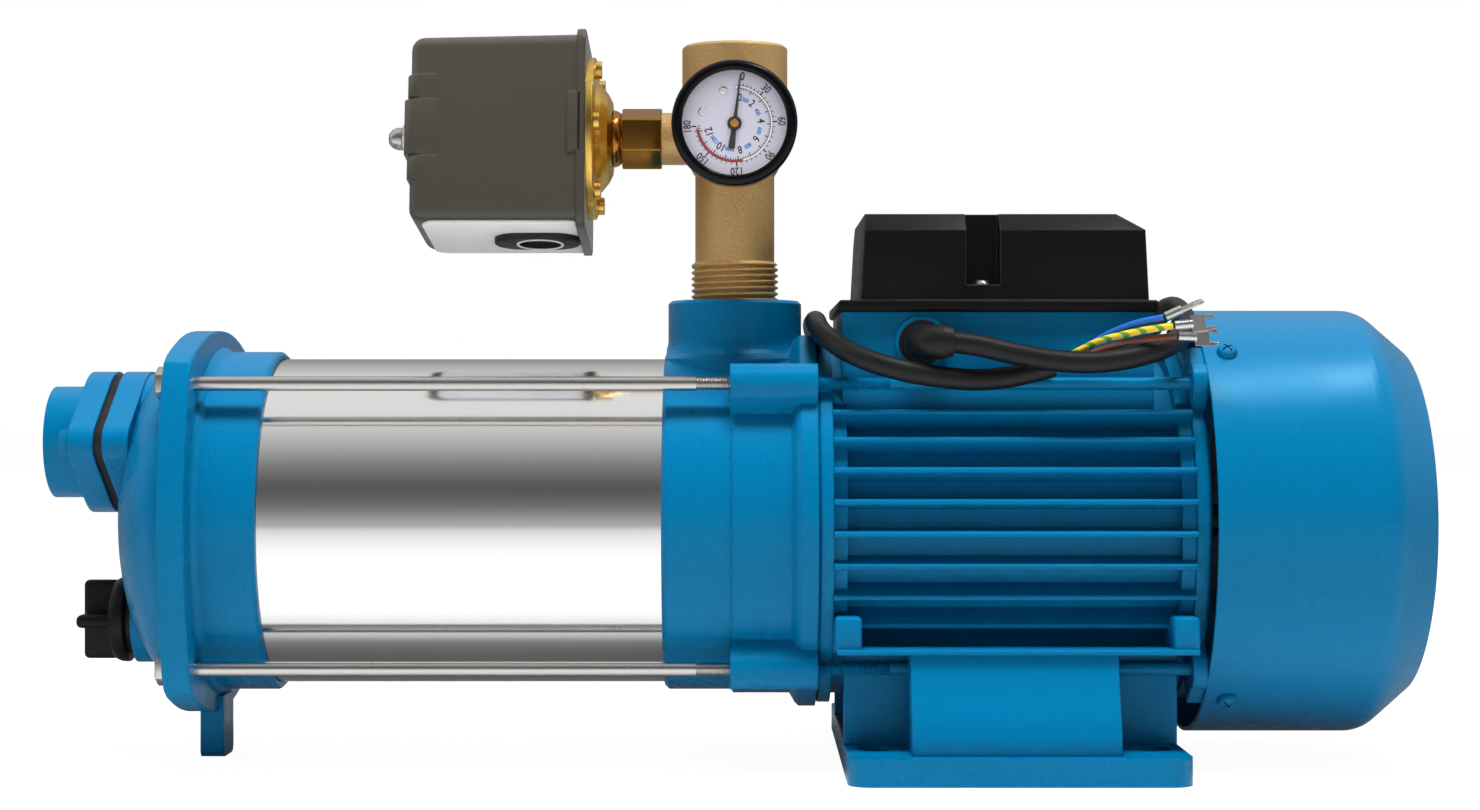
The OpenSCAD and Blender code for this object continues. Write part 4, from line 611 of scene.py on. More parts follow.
def draw_out(bm, corners, way):
    """Face through corners, drawn out into a solid along a vector, all in millimetres."""
    face = bm.faces.new([bm.verts.new(mm(corner)) for corner in corners])
    drawn = bmesh.ops.extrude_face_region(bm, geom=[face])["geom"]
    far = [v for v in drawn if isinstance(v, bmesh.types.BMVert)]
    bmesh.ops.translate(bm, vec=mm(way), verts=far)
    bmesh.ops.recalc_face_normals(bm, faces=bm.faces)


def casting_along_x(name, outline, x0, x1, bevel):
    """Casting with one outline of (Y, Z) points, drawn out along the shaft."""
    bm = bmesh.new()
    draw_out(bm, [(x0, y, z) for y, z in outline], (x1 - x0, 0, 0))
    bevel_edges(bm, bevel, 3, 40)
    return close_mesh(bm, name, 30)


def hexagon_into(bm, radius, height):
    bmesh.ops.create_cone(
        bm, cap_ends=True, cap_tris=False, segments=6, radius1=mm(radius), radius2=mm(radius), depth=mm(height),
    )


def hex_head(flats, height, place, crown=0.7):
    """Hexagon head with its top corners turned off, standing on local Z = 0."""
    bm = bmesh.new()
    hexagon_into(bm, flats / math.sqrt(3), height)
    bmesh.ops.translate(bm, vec=mm((0, 0, height / 2)), verts=bm.verts)
    top = [f for f in bm.faces if f.normal.z > 0.9]
    bmesh.ops.inset_region(bm, faces=top, thickness=mm(crown), depth=0.0, use_even_offset=True)
    rim = [v for v in bm.verts if v.co.z > mm(height) - TINY and not any(f in top for f in v.link_faces)]
    for vert in rim:
        vert.co.z -= mm(crown * 0.55)
    bevel_edges(bm, 0.25)
    mesh = close_mesh(bm, "hex_head", 30)
    mesh.transform(place)
    return mesh


def cross_screw(radius, height, place):
    """Round-headed screw with a cross recess, standing on local Z = 0."""
    profile = [(0, 0), (radius, 0), (radius, 0.25 * height), (radius * 0.82, 0.7 * height),
               (radius * 0.45, 0.95 * height), (0, height)]
    head = turned_mesh("cross_screw", profile, Matrix(), 32)
    arm = radius * 0.62
    for x, y in ((arm, 0.3), (0.3, arm)):
        slot = bmesh.new()
        box_into(slot, (-x, -y, 0.3 * height), (x, y, height + 1))
        head = cut_away(head, plain_mesh(slot, "slot"), "cross_screw")
    head.transform(place)
    return head


def threaded_bars(x0, x1, radius, thread0, thread1, pitch, depth, places):
    """Round bars along the shaft's direction with fine ridges between two places."""
    profile = [(0, x0), (radius, x0)]
    for i in range(int((thread1 - thread0) / pitch)):
        base = thread0 + i * pitch
        profile += [(radius, base + 0.04 * pitch), (radius - depth, base + 0.47 * pitch),
                    (radius - depth, base + 0.53 * pitch), (radius, base + 0.96 * pitch)]
    profile += [(radius, x1), (0, x1)]
    return [turned_mesh("bar", profile, along_x(0, y, z), 28, 25) for y, z in places]


def thread_cutter(radius, depth, pitch, length, steps=48):
    """V groove wound round local Z, to be cut out of a pipe."""
    bm = bmesh.new()
    turns = length / pitch
    points = [(radius - depth, 0.0), (radius + 0.4, 0.49 * pitch), (radius + 0.4, -0.49 * pitch)]
    verts = [bm.verts.new(mm((r, 0.0, h))) for r, h in points]
    face = bm.faces.new(verts)
    count = int(turns * steps)
    bmesh.ops.spin(
        bm, geom=verts + list(face.edges) + [face], cent=(0, 0, 0), axis=(0, 0, 1),
        dvec=(0, 0, mm(length / count)), angle=math.tau * turns, steps=count, use_merge=False,
    )
    return close_mesh(bm, "thread_cutter")


# The four tie-rod places as (Y, Z)
ROD_PLACES = [(sy * ROD_OFF, SHAFT_Z + sz * ROD_OFF) for sy in (-1, 1) for sz in (-1, 1)]


# Stage

PHOTO_WIDTH = 1480.0
FOCAL_PIXELS = 2600.0
SENSOR_WIDTH = 36.0
# Painted reflection of the floor in polished metal, by its Y in metres: dark near the pump as a painted shadow,
# brightest just in front as painted light, fading further out
PAINTED_FLOOR_REFLECTION = (
    (0.08, 0.1), (-0.025, 0.1), (-0.036, 0.15), (-0.046, 0.27), (-0.055, 0.47), (-0.065, 0.7), (-0.075, 0.92),
    (-0.087, 1.1), (-0.19, 1.08), (-0.29, 0.92), (-0.38, 0.8), (-0.64, 0.66), (-1.7, 0.52), (-2.4, 0.46),
)
# The room's brightness in polished metal, by degrees up from the front horizon and over to the back one
ROOM_LIFTS = (
    (0, 0.44), (3, 0.36), (8, 0.24), (13, 0.16), (19, 0.12), (24, 0.10), (30, 0.125), (41, 0.22), (52, 0.38),
    (65, 0.56), (78, 0.76), (102, 0.8), (123, 0.72), (138, 0.52), (160, 0.3), (180, 0.3),
)
# Name, place, size, watts, seen in gloss, lights the surfaces
LAMPS = (
    ("key_lamp", (-0.1, -0.46, 2.0), (1.1, 0.45), 75.0, False, True),
    ("left_lamp", (-2.0, -0.9, 0.7), (1.3, 1.3), 4.5, False, True),
    ("right_lamp", (2.0, -0.9, 0.7), (1.3, 1.3), 4.5, False, True),
    ("rim_lamp", (0.3, 1.0, 1.7), (2.2, 0.8), 8.0, False, True),
    ("strip_lamp", (0.42, -0.22, 1.5), (0.75, 0.10), 4.5, True, False),
)


def seen_rays(tree, path, place):
    """1 for what the camera sees directly or through the lens."""
    return add_node(tree, "Math", place, operation="MAXIMUM", in_0=path.outputs["Is Camera Ray"],
                    in_1=path.outputs["Is Transmission Ray"])


def mixed(tree, place, factor, first, second):
    return add_node(tree, "MixShader", place, in_0=factor, in_1=first, in_2=second)


class GARDENPUMP_OT_stage(bpy.types.Operator):
    """Sets the floor, the pale room, the lights and the camera"""

    bl_idname = "garden_pump.stage"
    bl_label = "Stage"

    def execute(self, context):
        scene = context.scene
        scene.view_settings.view_transform = "Standard"
        self.camera(scene)
        self.floor(scene)
        self.room(scene)
        self.lamps(scene)
        return {"FINISHED"}

    def camera(self, scene):
        data = bpy.data.cameras.new("photo_camera")
        data.sensor_width = SENSOR_WIDTH
        data.lens = FOCAL_PIXELS * SENSOR_WIDTH / PHOTO_WIDTH
        data.clip_end = 50.0
        camera = bpy.data.objects.new("photo_camera", data)
        camera.location = mm((-99.0, -1000.0, 134.2))
        camera.rotation_euler = (math.radians(90), 0.0, 0.0)
        scene.collection.objects.link(camera)
        scene.camera = camera

    def floor(self, scene):
        """White paper: it reads as white to the camera and keeps a faint shadow of the pump. Polished metal sees a
        painted reflection of it, with a painted shadow under the pump and painted light in front.
        """
        bm = bmesh.new()
        bmesh.ops.create_grid(bm, x_segments=1, y_segments=1, size=12.0)
        bmesh.ops.translate(bm, vec=(0, 0, -0.0002), verts=bm.verts)
        mesh = plain_mesh(bm, "studio_floor")
        floor = bpy.data.objects.new("studio_floor", mesh)
        scene.collection.objects.link(floor)
        material, tree, paper, coords = new_material("floor_paper")
        feed(tree, paper, Base_Color=(0.85, 0.85, 0.85, 1.0), Roughness=0.9, Specular_IOR_Level=0.0)
        path = add_node(tree, "LightPath", (-900, 500))
        split = add_node(tree, "SeparateXYZ", (-1100, 0), in_0=coords)
        # Polished metal sees a painted reflection of the floor (the mirrored emission): a painted shadow under the pump
        # and painted light in front that fades with distance
        near, far = PAINTED_FLOOR_REFLECTION[0][0], PAINTED_FLOOR_REFLECTION[-1][0]
        ahead = map_range(tree, (-900, 0), split.outputs["Y"], near, far)
        painted_reflection_ramp = grey_ramp(tree, (-700, 0), ahead, [((near - y) / (near - far), grey) for y, grey in PAINTED_FLOOR_REFLECTION])
        mirrored = add_node(tree, "Emission", (-300, 0), Color=painted_reflection_ramp)
        white = add_node(tree, "Emission", (-300, 300), Color=(1.0, 1.0, 1.0, 1.0), Strength=1.17)
        clear = multiplied(tree, (-400, 500), seen_rays(tree, path, (-600, 500)), 0.82)
        shine = multiplied(tree, (-400, 350), path.outputs["Is Glossy Ray"], 0.8)
        first = mixed(tree, (0, 0), shine, paper, mirrored)
        feed(tree, tree.nodes["Material Output"], Surface=mixed(tree, (250, 0), clear, first, white))
        mesh.materials.append(material)

    def room(self, scene):
        """White to the camera; a dome with a dark band above the horizon in polished metal."""
        world = bpy.data.worlds.new("studio_room")
        world.use_nodes = True
        scene.world = world
        tree = world.node_tree
        tree.nodes.clear()
        path = add_node(tree, "LightPath", (-600, 500))
        coords = add_node(tree, "TexCoord", (-1400, 0))
        split = add_node(tree, "SeparateXYZ", (-1200, 0), in_0=coords.outputs["Generated"])
        front = multiplied(tree, (-1000, -100), split.outputs["Y"], -1.0)
        angle = add_node(tree, "Math", (-850, 0), operation="ARCTAN2", in_0=split.outputs["Z"], in_1=front)
        turn = map_range(tree, (-700, 0), angle, 0.0, math.pi)
        ramp = grey_ramp(tree, (-500, 0), turn, [(lift / 180, grey) for lift, grey in ROOM_LIFTS])
        dome = add_node(tree, "Background", (-100, -100), Color=ramp)
        soft = add_node(tree, "Background", (-100, -300), Color=(0.94, 0.96, 1.0, 1.0), Strength=0.2)
        white = add_node(tree, "Background", (-100, 250), Color=(1.0, 1.0, 1.0, 1.0))
        metal = mixed(tree, (250, -100), path.outputs["Is Glossy Ray"], soft, dome)
        final = mixed(tree, (600, 0), seen_rays(tree, path, (0, 500)), metal, white)
        add_node(tree, "OutputWorld", (900, 0), in_0=final)

    def lamps(self, scene):
        """Soft lamps above and in front, and a strip overhead that only the gloss shows."""
        aim = mm((-40, 0, 120))
        for name, place, size, power, mirrored, lighting in LAMPS:
            data = bpy.data.lights.new(name, "AREA")
            data.shape = "RECTANGLE"
            data.size, data.size_y = size
            data.energy = power
            lamp = bpy.data.objects.new(name, data)
            lamp.location = place
            lamp.rotation_euler = (aim - Vector(place)).to_track_quat("-Z", "Y").to_euler()
            lamp.visible_glossy = mirrored
            lamp.visible_diffuse = lighting
            scene.collection.objects.link(lamp)


# Cable and its cores

CORD_ROUTE = [
    (-23, -63, 157), (-13, -63.5, 155.6), (0, -65.2, 152.6), (12, -67.4, 150.4), (25, -68.6, 149.4),
    (37, -67.8, 150.4), (48, -64.4, 152.8), (57.2, -57.8, 156.2), (63.6, -48, 161), (66, -35.5, 166.2),
    (66.2, -18, 170.6), (66.2, 0, 171.8), (66.2, 18, 170.6), (66, 35.5, 166.2), (63.6, 48, 161),
    (57.2, 57.8, 156), (47.4, 63.6, 151.6), (34.6, 65.6, 148.5), (18.5, 63.9, 146.6), (2, 60, 146),
    (-15, 59.6, 146.2), (-29.5, 62.9, 147.6), (-42.6, 64.3, 150.2), (-54.1, 61, 154), (-63.4, 52.6, 158.6),
    (-68.8, 41.5, 162.8), (-70.2, 28, 165.4), (-70.2, 8, 166.4), (-70.2, -12, 166), (-70, -30, 163.6),
    (-67.8, -44, 159.8), (-61.7, -55.9, 154.8), (-52, -62.9, 150), (-39.4, -64.5, 146.4), (-26.2, -62, 144.2),
    (-13.8, -59.3, 143.3), (-3, -58.5, 144.1), (6, -58.5, 146), (14.5, -58.5, 148.2),
]
# Name, slot and route of each core
CORES = (
    ("earth", "green_yellow_wire",
     [(14.7, -58.5, 150.05), (21.5, -60, 152.8), (31, -63.5, 157.4), (44, -67.5, 160.6), (56, -70, 162.5)]),
    ("live", "brown_wire",
     [(15.3, -60, 147.5), (21.5, -61.3, 149.4), (31, -64, 153.9), (44, -66.5, 157.4), (57.5, -68.8, 158.8)]),
    ("neutral", "blue_wire",
     [(15.3, -57, 147.5), (22, -57.2, 150.6), (32, -59.8, 158.6), (43, -64.5, 163.4), (53, -68, 165.5)]),
)


def smooth_route(route, steps):
    """Points of one smooth curve through a route, in millimetres."""
    points = [Vector(p) for p in route]
    last = len(points) - 1
    out = []
    for i in range(last):
        a, b, c, d = points[max(i - 1, 0)], points[i], points[i + 1], points[min(i + 2, last)]
        for k in range(steps):
            t = k / steps
            out.append(0.5 * (2 * b + (c - a) * t + (2 * a - 5 * b + 4 * c - d) * t ** 2
                              + (3 * b - a - 3 * c + d) * t ** 3))
    out.append(points[last])
    return out


def round_cable(name, route, diameter, material, replaces):
    """A cable as a curve of one spline along its route, and its length in metres."""
    drop_old(name)
    points = smooth_route(route, 6)
    data = bpy.data.curves.new(name, "CURVE")
    data.dimensions = "3D"
    data.bevel_depth = diameter / 2
    data.bevel_resolution = 6
    data.use_fill_caps = True
    spline = data.splines.new("POLY")
    spline.points.add(len(points) - 1)
    for target, point in zip(spline.points, points):
        target.co = (*mm(point), 1.0)
    spline.use_smooth = True
    data.materials.append(finish(material))
    run = sum((b - a).length for a, b in zip(points, points[1:])) / 1000
    return link_piece(name, data, "pump", replaces), run


class GARDENPUMP_OT_cables(bpy.types.Operator):
    """Lays the power cable round the terminal box, with its three cores"""

    bl_idname = "garden_pump.cables"
    bl_label = "Cables"

    def execute(self, context):
        thick, thin = sizes().cord_diameter, sizes().core_diameter
        sheath, run = round_cable("cable_sheath", CORD_ROUTE, thick, "cord_rubber", ["power_cord"])
        cores = [
            round_cable(f"core_{name}", route, thin, f"core_{name}", [f"wire_{name}"])[0]
            for name, slot, route in CORES
        ]
        return {"FINISHED"}


# Pressure gauge

DIAL_Y = GAUGE_FACE + 5.4
DIAL_TURNS = (7.0, 42.0, 87.0, 132.0, 177.0, 222.0, 266.0)
DIAL_START, RED_START, RED_END, DIAL_END = 7.0, 167.0, 262.0, 266.0
NEEDLE_TURN = -7.0
PRINT_LIFT = 0.03


def dial_place(turn, radius, lift=0.0):
    """Place on the dial at an angle in degrees clockwise from the top, with local Y outward."""
    return toward_viewer(TEE_X, DIAL_Y, PORT_Z) @ spun("Z", -turn) @ upright(0, radius, lift)


def figure_mesh(body, size, width=0.82):
    """One printed figure as a thin mesh, centred on local zero, in metres."""
    data = bpy.data.curves.new("figure", "FONT")
    data.body = body
    data.size = mm(size)
    data.align_x = "CENTER"
    data.align_y = "CENTER"
    data.resolution_u = 3
    data.extrude = mm(0.015)
    data.offset = mm(0.075)
    holder = bpy.data.objects.new("figure", data)
    bpy.context.scene.collection.objects.link(holder)
    graph = bpy.context.evaluated_depsgraph_get()
    mesh = bpy.data.meshes.new_from_object(holder.evaluated_get(graph), depsgraph=graph)
    bpy.data.objects.remove(holder, do_unlink=True)
    bpy.data.curves.remove(data)
    mesh.transform(Matrix.Diagonal((width, 1.0, 1.0, 1.0)))
    return mesh


def figure_ring(labels, turns, radius, size):
    """Printed figures round the dial, each with its top outward."""
    meshes = []
    for label, turn in zip(labels, turns):
        mesh = figure_mesh(str(label), size)
        mesh.transform(dial_place(turn, radius, 0.02))
        meshes.append(mesh)
    return meshes


def dial_arc(start, end, inner, outer):
    """Flat printed band between two angles."""
    bm = bmesh.new()
    profile = ((inner, 0.0), (outer, 0.0), (outer, PRINT_LIFT), (inner, PRINT_LIFT))
    corners = [bm.verts.new(mm((0, r, h))) for r, h in profile]
    face = bm.faces.new(corners)
    bmesh.ops.spin(
        bm, geom=corners + list(face.edges) + [face], cent=(0, 0, 0), axis=(0, 0, -1), dvec=(0, 0, 0),
        angle=math.radians(end - start), steps=max(int((end - start) / 4), 2), use_merge=False,
    )
    move(bm, dial_place(start, 0.0))
    return close_mesh(bm, "dial_arc")


def dial_ticks(turns, inner, outer, width):
    """Printed marks between two radii at each angle."""
    bm = bmesh.new()
    for turn in turns:
        made = box_into(bm, (-width / 2, inner, 0), (width / 2, outer, PRINT_LIFT))
        move(bm, dial_place(turn, 0.0), made)
    return close_mesh(bm, "dial_ticks")


def scale_turns(parts):
    """Angles of even marks between the dial's figures."""
    out = []
    for a, b in zip(DIAL_TURNS, DIAL_TURNS[1:]):
        out += [a + (b - a) * i / parts for i in range(parts)]
    return out + [DIAL_TURNS[-1]]


class GARDENPUMP_OT_gauge(bpy.types.Operator):
    """Prints the gauge's dial and makes its bezel, needle and dial screws"""

    bl_idname = "garden_pump.gauge"
    bl_label = "Gauge"

    def execute(self, context):
        self.printing()
        self.bezel()
        self.needle()
        self.screws()
        return {"FINISHED"}

    def printing(self):
        big = sizes().dial_figures * 1000
        even = [DIAL_START + (DIAL_END - DIAL_START) * i / 62 for i in range(63)]
        black = figure_ring([0], [9.5], 17.3, big * 1.1) + figure_ring([120], [177.0], 17.2, big)
        black += figure_ring(range(0, 13, 2), (11.0, 41.0, 84.0, 125.0, 168.0, 210.0, 252.0), 9.6, big * 1.02)
        for turns, inner, outer, width in (
            (scale_turns(6), 13.95, 14.85, 0.28), (scale_turns(1), 13.95, 15.6, 0.5), (even, 12.4, 13.25, 0.26),
            (even[::5], 11.8, 13.25, 0.4),
        ):
            black.append(dial_ticks(turns, inner, outer, width))
        black += [dial_arc(DIAL_START, DIAL_END, 13.9, 14.1), dial_arc(DIAL_START, DIAL_END, 13.1, 13.3)]
        maroon = figure_ring((30, 60, 90, 150, 180), (42.0, 87.0, 132.0, 222.0, 266.0), 17.1, big)
        blue = figure_ring(range(200, 1201, 200), (25.0, 63.0, 106.0, 149.0, 190.0, 231.0), 9.3, big * 0.55)
        for ink, meshes in (
            ("black", black), ("red", [dial_arc(RED_START, RED_END, 13.3, 13.9)]), ("maroon", maroon), ("blue", blue),
            ("white", [dial_arc(DIAL_START, RED_START, 13.3, 13.9)]),
        ):
            add_joined(f"dial_{ink}_print", meshes, 35, f"ink_{ink}")

    def bezel(self):
        rim = 22.9
        profile = [(rim - 0.9, 0.0), (rim - 0.05, 0.35), (rim, 2.0), (rim, 6.0), (rim - 0.5, 7.3), (rim - 1.9, 7.95),
                   (20.0, 8.0), (19.3, 7.6), (19.0, 6.6), (rim - 0.9, 6.5)]
        mesh = turned_mesh("gauge_rim", profile, toward_viewer(TEE_X, GAUGE_FACE + 8, PORT_Z), sharp=50)
        add_piece("gauge_rim", mesh, "bezel_plastic", ["gauge_bezel"])

    def needle(self):
        place = toward_viewer(TEE_X, DIAL_Y - 0.5, PORT_Z) @ spun("Z", NEEDLE_TURN)
        bm = bmesh.new()
        outline = [(-0.75, 0), (-0.42, 9), (-0.2, 18), (0.2, 18), (0.42, 9), (0.75, 0), (1.25, -8.4), (0.9, -9.3),
                   (-0.9, -9.3), (-1.25, -8.4)]
        draw_out(bm, [(x, y, 0.2) for x, y in outline], (0, 0, 0.35))
        move(bm, place)
        blade = close_mesh(bm, "needle_blade")
        collar = [(0, 0), (2.1, 0), (2.5, 0.2), (2.6, 0.8), (2.3, 1.15), (1.75, 1.2), (1.7, 0.9), (0, 0.9)]
        hub = turned_mesh("needle_hub", collar, place, 32)
        add_joined("gauge_hand_blade", [blade, hub], 35, "needle_black", ["gauge_needle"],
                   "gauge_hand")
        pin = turned_mesh("needle_pin", [(0, 0.85), (1.65, 0.85), (1.55, 1.25), (1.1, 1.5), (0, 1.55)], place, 32)
        add_piece("gauge_hand_pin", pin, "turned_brass", body="gauge_hand")

    def screws(self):
        """Two slotted screws and a small pin."""
        heads = []
        for turn, radius, size in ((-18.5, 12.6, 1.5), (-70.0, 12.5, 1.5), (3.2, 13.2, 0.8)):
            profile = [(0, 0), (size, 0), (size, 0.25), (size * 0.8, 0.55), (size * 0.3, 0.7), (0, 0.7)]
            head = turned_mesh("dial_screw", profile, Matrix(), 24)
            if size > 1:
                slot = bmesh.new()
                box_into(slot, (-0.22, -3, 0.4), (0.22, 3, 2))
                head = cut_away(head, close_mesh(slot, "slot"), "dial_screw")
            head.transform(dial_place(turn, radius) @ Matrix.Rotation(0.9, 4, "Z"))
            heads.append(head)
        add_joined("dial_screw_heads", heads, 35, "drawn_steel")


# Tee and pressure switch

SWITCH_Z = PORT_Z - 2.2


class GARDENPUMP_OT_tee(bpy.types.Operator):
    """Cuts the pipe thread into the brass tee"""

    bl_idname = "garden_pump.tee"
    bl_label = "Tee"

    def execute(self, context):
        cutter = thread_cutter(16.6, 1.35, sizes().pipe_pitch * 1000, 14.2)
        cutter.transform(upright(TEE_X, 0, 173.4))
        mesh = cut_away(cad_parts["tee"].data.copy(), cutter, "brass_tee")
        add_piece("brass_tee", mesh, "cast_brass", ["tee"])
        return {"FINISHED"}


class GARDENPUMP_OT_switch(bpy.types.Operator):
    """Makes the switch's drawn cover, its lip, pads, steel bottom and grommet, and its union nut"""

    bl_idname = "garden_pump.switch"
    bl_label = "Pressure switch"

    def execute(self, context):
        low, high = node_box("switch_cover")
        self.x0, self.x1 = low[0], high[0]
        self.cover()
        self.plates()
        self.grommet()
        self.nuts()
        return {"FINISHED"}

    def put(self, name, mesh, material, slot, replaces=()):
        """A piece made upright, rolled into place with the switch."""
        mesh.transform(rolled(Matrix()))
        add_piece(name, mesh, material, replaces)

    def cover(self):
        x0, x1, z = self.x0, self.x1, SWITCH_Z
        body = bmesh.new()
        box_into(body, (x0 + 2.4, -29.1, z - 36.1), (x1 + 1.0, 29.1, z + 36.3))
        for vert in body.verts:
            if vert.co.x < mm(x0 + 5) and vert.co.z > mm(z):
                vert.co.z -= mm(1.4)
        left = mm(x0 + 3)
        round_edges(body, edges_where(body, lambda a, b: a.x < left or b.x < left), 5.0, 6)
        pieces = [close_mesh(body, "cover_body", 40)]
        for low, high, out in ((-20.0, -11.2, 1.2), (-10.5, 10.5, 0.0), (11.2, 20.0, 1.2)):
            edge = mm(x0 + out)
            pieces.append(cornered_box(
                "cover_pad", (x0 + out, -29.25, z + low), (x0 + 13, 29.25, z + high),
                lambda a, b: same(a, b, (0, 1)) and abs(a.x - edge) < TINY, 5.0, 0.5,
            ))
        lip = cornered_box("lip", (x1 - 0.4, -30, z - 38.5), (x1 + 2.95, 30, z + 38.5), along_x_edge, 6.0, 0.5)
        hollow = cornered_box("hollow", (x1 + 1.2, -28.6, z - 37.1), (x1 + 9, 28.6, z + 37.1), along_x_edge, 4.6)
        pieces.append(cut_away(lip, hollow, "cover_lip"))
        pieces.append(box_mesh("cover_tab", (x1 - 4.0, -30.0, PORT_Z - 11.9), (x1 + 1.5, -27.0, PORT_Z + 11.0), 0.5, 2))
        self.put("switch_hood", join_meshes("switch_hood", pieces, 40), "cover_enamel", "taupe_cover",
                 ["switch_cover"])

    def plates(self):
        x0, x1, z = self.x0, self.x1, SWITCH_Z
        left = mm(x0 + 9)
        under = cornered_box("switch_underside", (x0 + 7, -26.5, z - 36.9), (x1 - 0.6, 27.5, z - 35.5),
                             lambda a, b: same(a, b, (0, 1)) and a.x < left, 5.0, 0.35)
        self.put("switch_underside", under, "pale_steel", "zinc_steel")
        plate = cornered_box("switch_plate", (x1 + 1.1, -28.4, z - 36.9), (x1 + 2.9, 28.4, z + 36.9),
                             along_x_edge, 4.4, 0.3)
        self.put("switch_plate", plate, "zinc_plate", "zinc_steel", ["switch_base"])

    def grommet(self):
        x, z = self.x1 - 15.5, SWITCH_Z - 36.6
        flange = cornered_box("flange", (x - 17.5, -10.5, z - 2.6), (x + 15.5, 10.5, z + 1.5),
                              lambda a, b: same(a, b, (0, 1)), 10.3, 0.8, segments=8, bevel_segments=3)
        well = turned_mesh("well", [(0, -6), (7.8, -6), (8.0, -2.0), (8.0, 0), (0, 0)], upright(x, 0, z - 0.4), 48)
        self.put("grommet_flange", cut_away(flange, well, "grommet_flange"), "soft_rubber", "black_rubber",
                 ["switch_grommet"])
        rim = turned_mesh("grommet_rim", [(8.1, -2.9), (8.5, -3.0), (9.0, -2.9), (9.0, -2.2), (8.1, -2.2)],
                          upright(x, 0, z), 64)
        self.put("grommet_rim", rim, "pale_steel", "zinc_steel")

    def nuts(self):
        """Cap nut on the cover's stud, and the six-sided union with its collar and spigot."""
        face = along_x(self.x0 - 3.4, 0, PORT_Z)
        dome = [(0, 0.2), (4.3, 0.2), (4.4, 0.9), (4.2, 2.6), (3.4, 4.3), (2.0, 5.4), (0, 5.8)]
        washer = [(2.2, -0.5), (5.5, -0.5), (5.6, -0.1), (5.6, 0.1), (2.2, 0.1)]
        add_joined("cap_nut", [
            hex_head(9.6, 3.4, rolled(face), 0.6),
            turned_mesh("cap", dome, rolled(face @ spun("X", 180)), 48),
            turned_mesh("washer", washer, rolled(along_x(self.x0 - 0.1, 0, PORT_Z)), 48),
        ], 30, "turned_steel", ["switch_cap_nut"])
        low, high = node_box("switch_union")
        left, right = low[0], high[0]
        middle = left + 11.2
        bm = bmesh.new()
        hexagon_into(bm, 11.8, 15.2)
        bevel_edges(bm, 0.5, 3)
        move(bm, along_x(middle, 0, PORT_Z) @ spun("Z", 27))
        collar = rounded(1.2, [(0, left + 0.05), (11.2, left + 0.05), (10.4, left + 2.4), (9.2, left + 3.8),
                               (0, left + 3.8)])
        spigot = [(0, middle), (8.4, middle), (8.4, right), (0, right)]
        place = along_x(0, 0, PORT_Z)
        meshes = [close_mesh(bm, "nut", 30), turned_mesh("collar", collar, place), turned_mesh("spigot", spigot, place)]
        add_joined("union_nut", meshes, 30, "turned_brass", ["switch_union"])


# Rods, bolts and the motor's fine pieces


class GARDENPUMP_OT_rods(bpy.types.Operator):
    """Makes the tie rods and the motor's through bolts with their threads, heads and washers"""

    bl_idname = "garden_pump.rods"
    bl_label = "Rods and bolts"

    def execute(self, context):
        pitch = sizes().rod_pitch * 1000
        low, high = node_box("tie_rods")
        head_x, collar_x = low[0], high[0] - 20
        meshes = threaded_bars(head_x + 3, high[0], 2.68, collar_x - 12.4, collar_x + 1, pitch, 0.6, ROD_PLACES)
        washer = [(2.7, 0), (5.4, 0), (5.6, 0.15), (5.6, 0.6), (2.7, 0.6)]
        for y, z in ROD_PLACES:
            meshes.append(hex_head(10.8, 3.6, along_x(head_x + 3.65, y, z) @ spun("X", 180) @ spun("Z", 30)))
            meshes.append(turned_mesh("rod_washer", washer, along_x(head_x + 3.4, y, z), 40))
        add_joined("tie_rod_set", meshes, 25, "drawn_steel", ["tie_rods"])
        low, high = node_box("through_bolts")
        meshes = threaded_bars(low[0], high[0] - 1, 2.38, low[0] + 4, -43.5, 0.8, 0.45, ROD_PLACES)
        for y, z in ROD_PLACES:
            meshes.append(hex_head(7.6, 3.6, along_x(high[0] - 3.6, y, z)))
        add_joined("through_bolt_set", meshes, 25, "bolt_blue", ["through_bolts"])
        return {"FINISHED"}


class GARDENPUMP_OT_motor(bpy.types.Operator):
    """Makes the foot's curved blocks, the frame's lowest ribs with their pads, and the fan cover's screws"""

    bl_idname = "garden_pump.motor"
    bl_label = "Motor"

    def execute(self, context):
        blocks, pads, screws = [], [], []
        front = rounded(6, [(-82.6, 9.0), (-82.4, 15), (-80.6, 22), (-77.0, 30), (-74.0, 38), (-72.6, 45.6)])
        outline = front + [(-59.0, 45.6), (-59.0, 9.0)]
        for side in (1, -1):
            blocks.append(casting_along_x("block", [(y * side, z) for y, z in outline], -38.2, 36.2, 0.9))
            for x0, x1, reach, foot, top, radius in (
                (-64.9, -55.4, 72.6, 45.2, 58.4, 1.5), (56.0, 65.4, 72.6, 45.2, 58.4, 1.5),
                (-64.5, 65.0, 74.6, 45.0, 46.9, 0.6),
            ):
                near, far = sorted((side * reach, side * 50))
                pads.append(box_mesh("pad", (x0, near, foot), (x1, far, top), radius, 3))
        add_joined("foot_blocks", blocks, 30, "frame_blue")
        add_joined("frame_pads", pads, 40, "frame_blue")
        low, high = node_box("cover_screws")
        middle = (low[0] + high[0]) / 2
        for turn in (-38, -142, 38, 142):
            place = upright(middle, 0, SHAFT_Z) @ spun("X", turn) @ upright(0, 0, COVER_RADIUS - 0.1)
            screws.append(cross_screw(3.8, 3.0, place @ Matrix.Rotation(0.6, 4, "Z")))
        add_joined("cover_screw_heads", screws, 30, "bolt_blue", ["cover_screws"])
        return {"FINISHED"}


# Lid of the terminal box


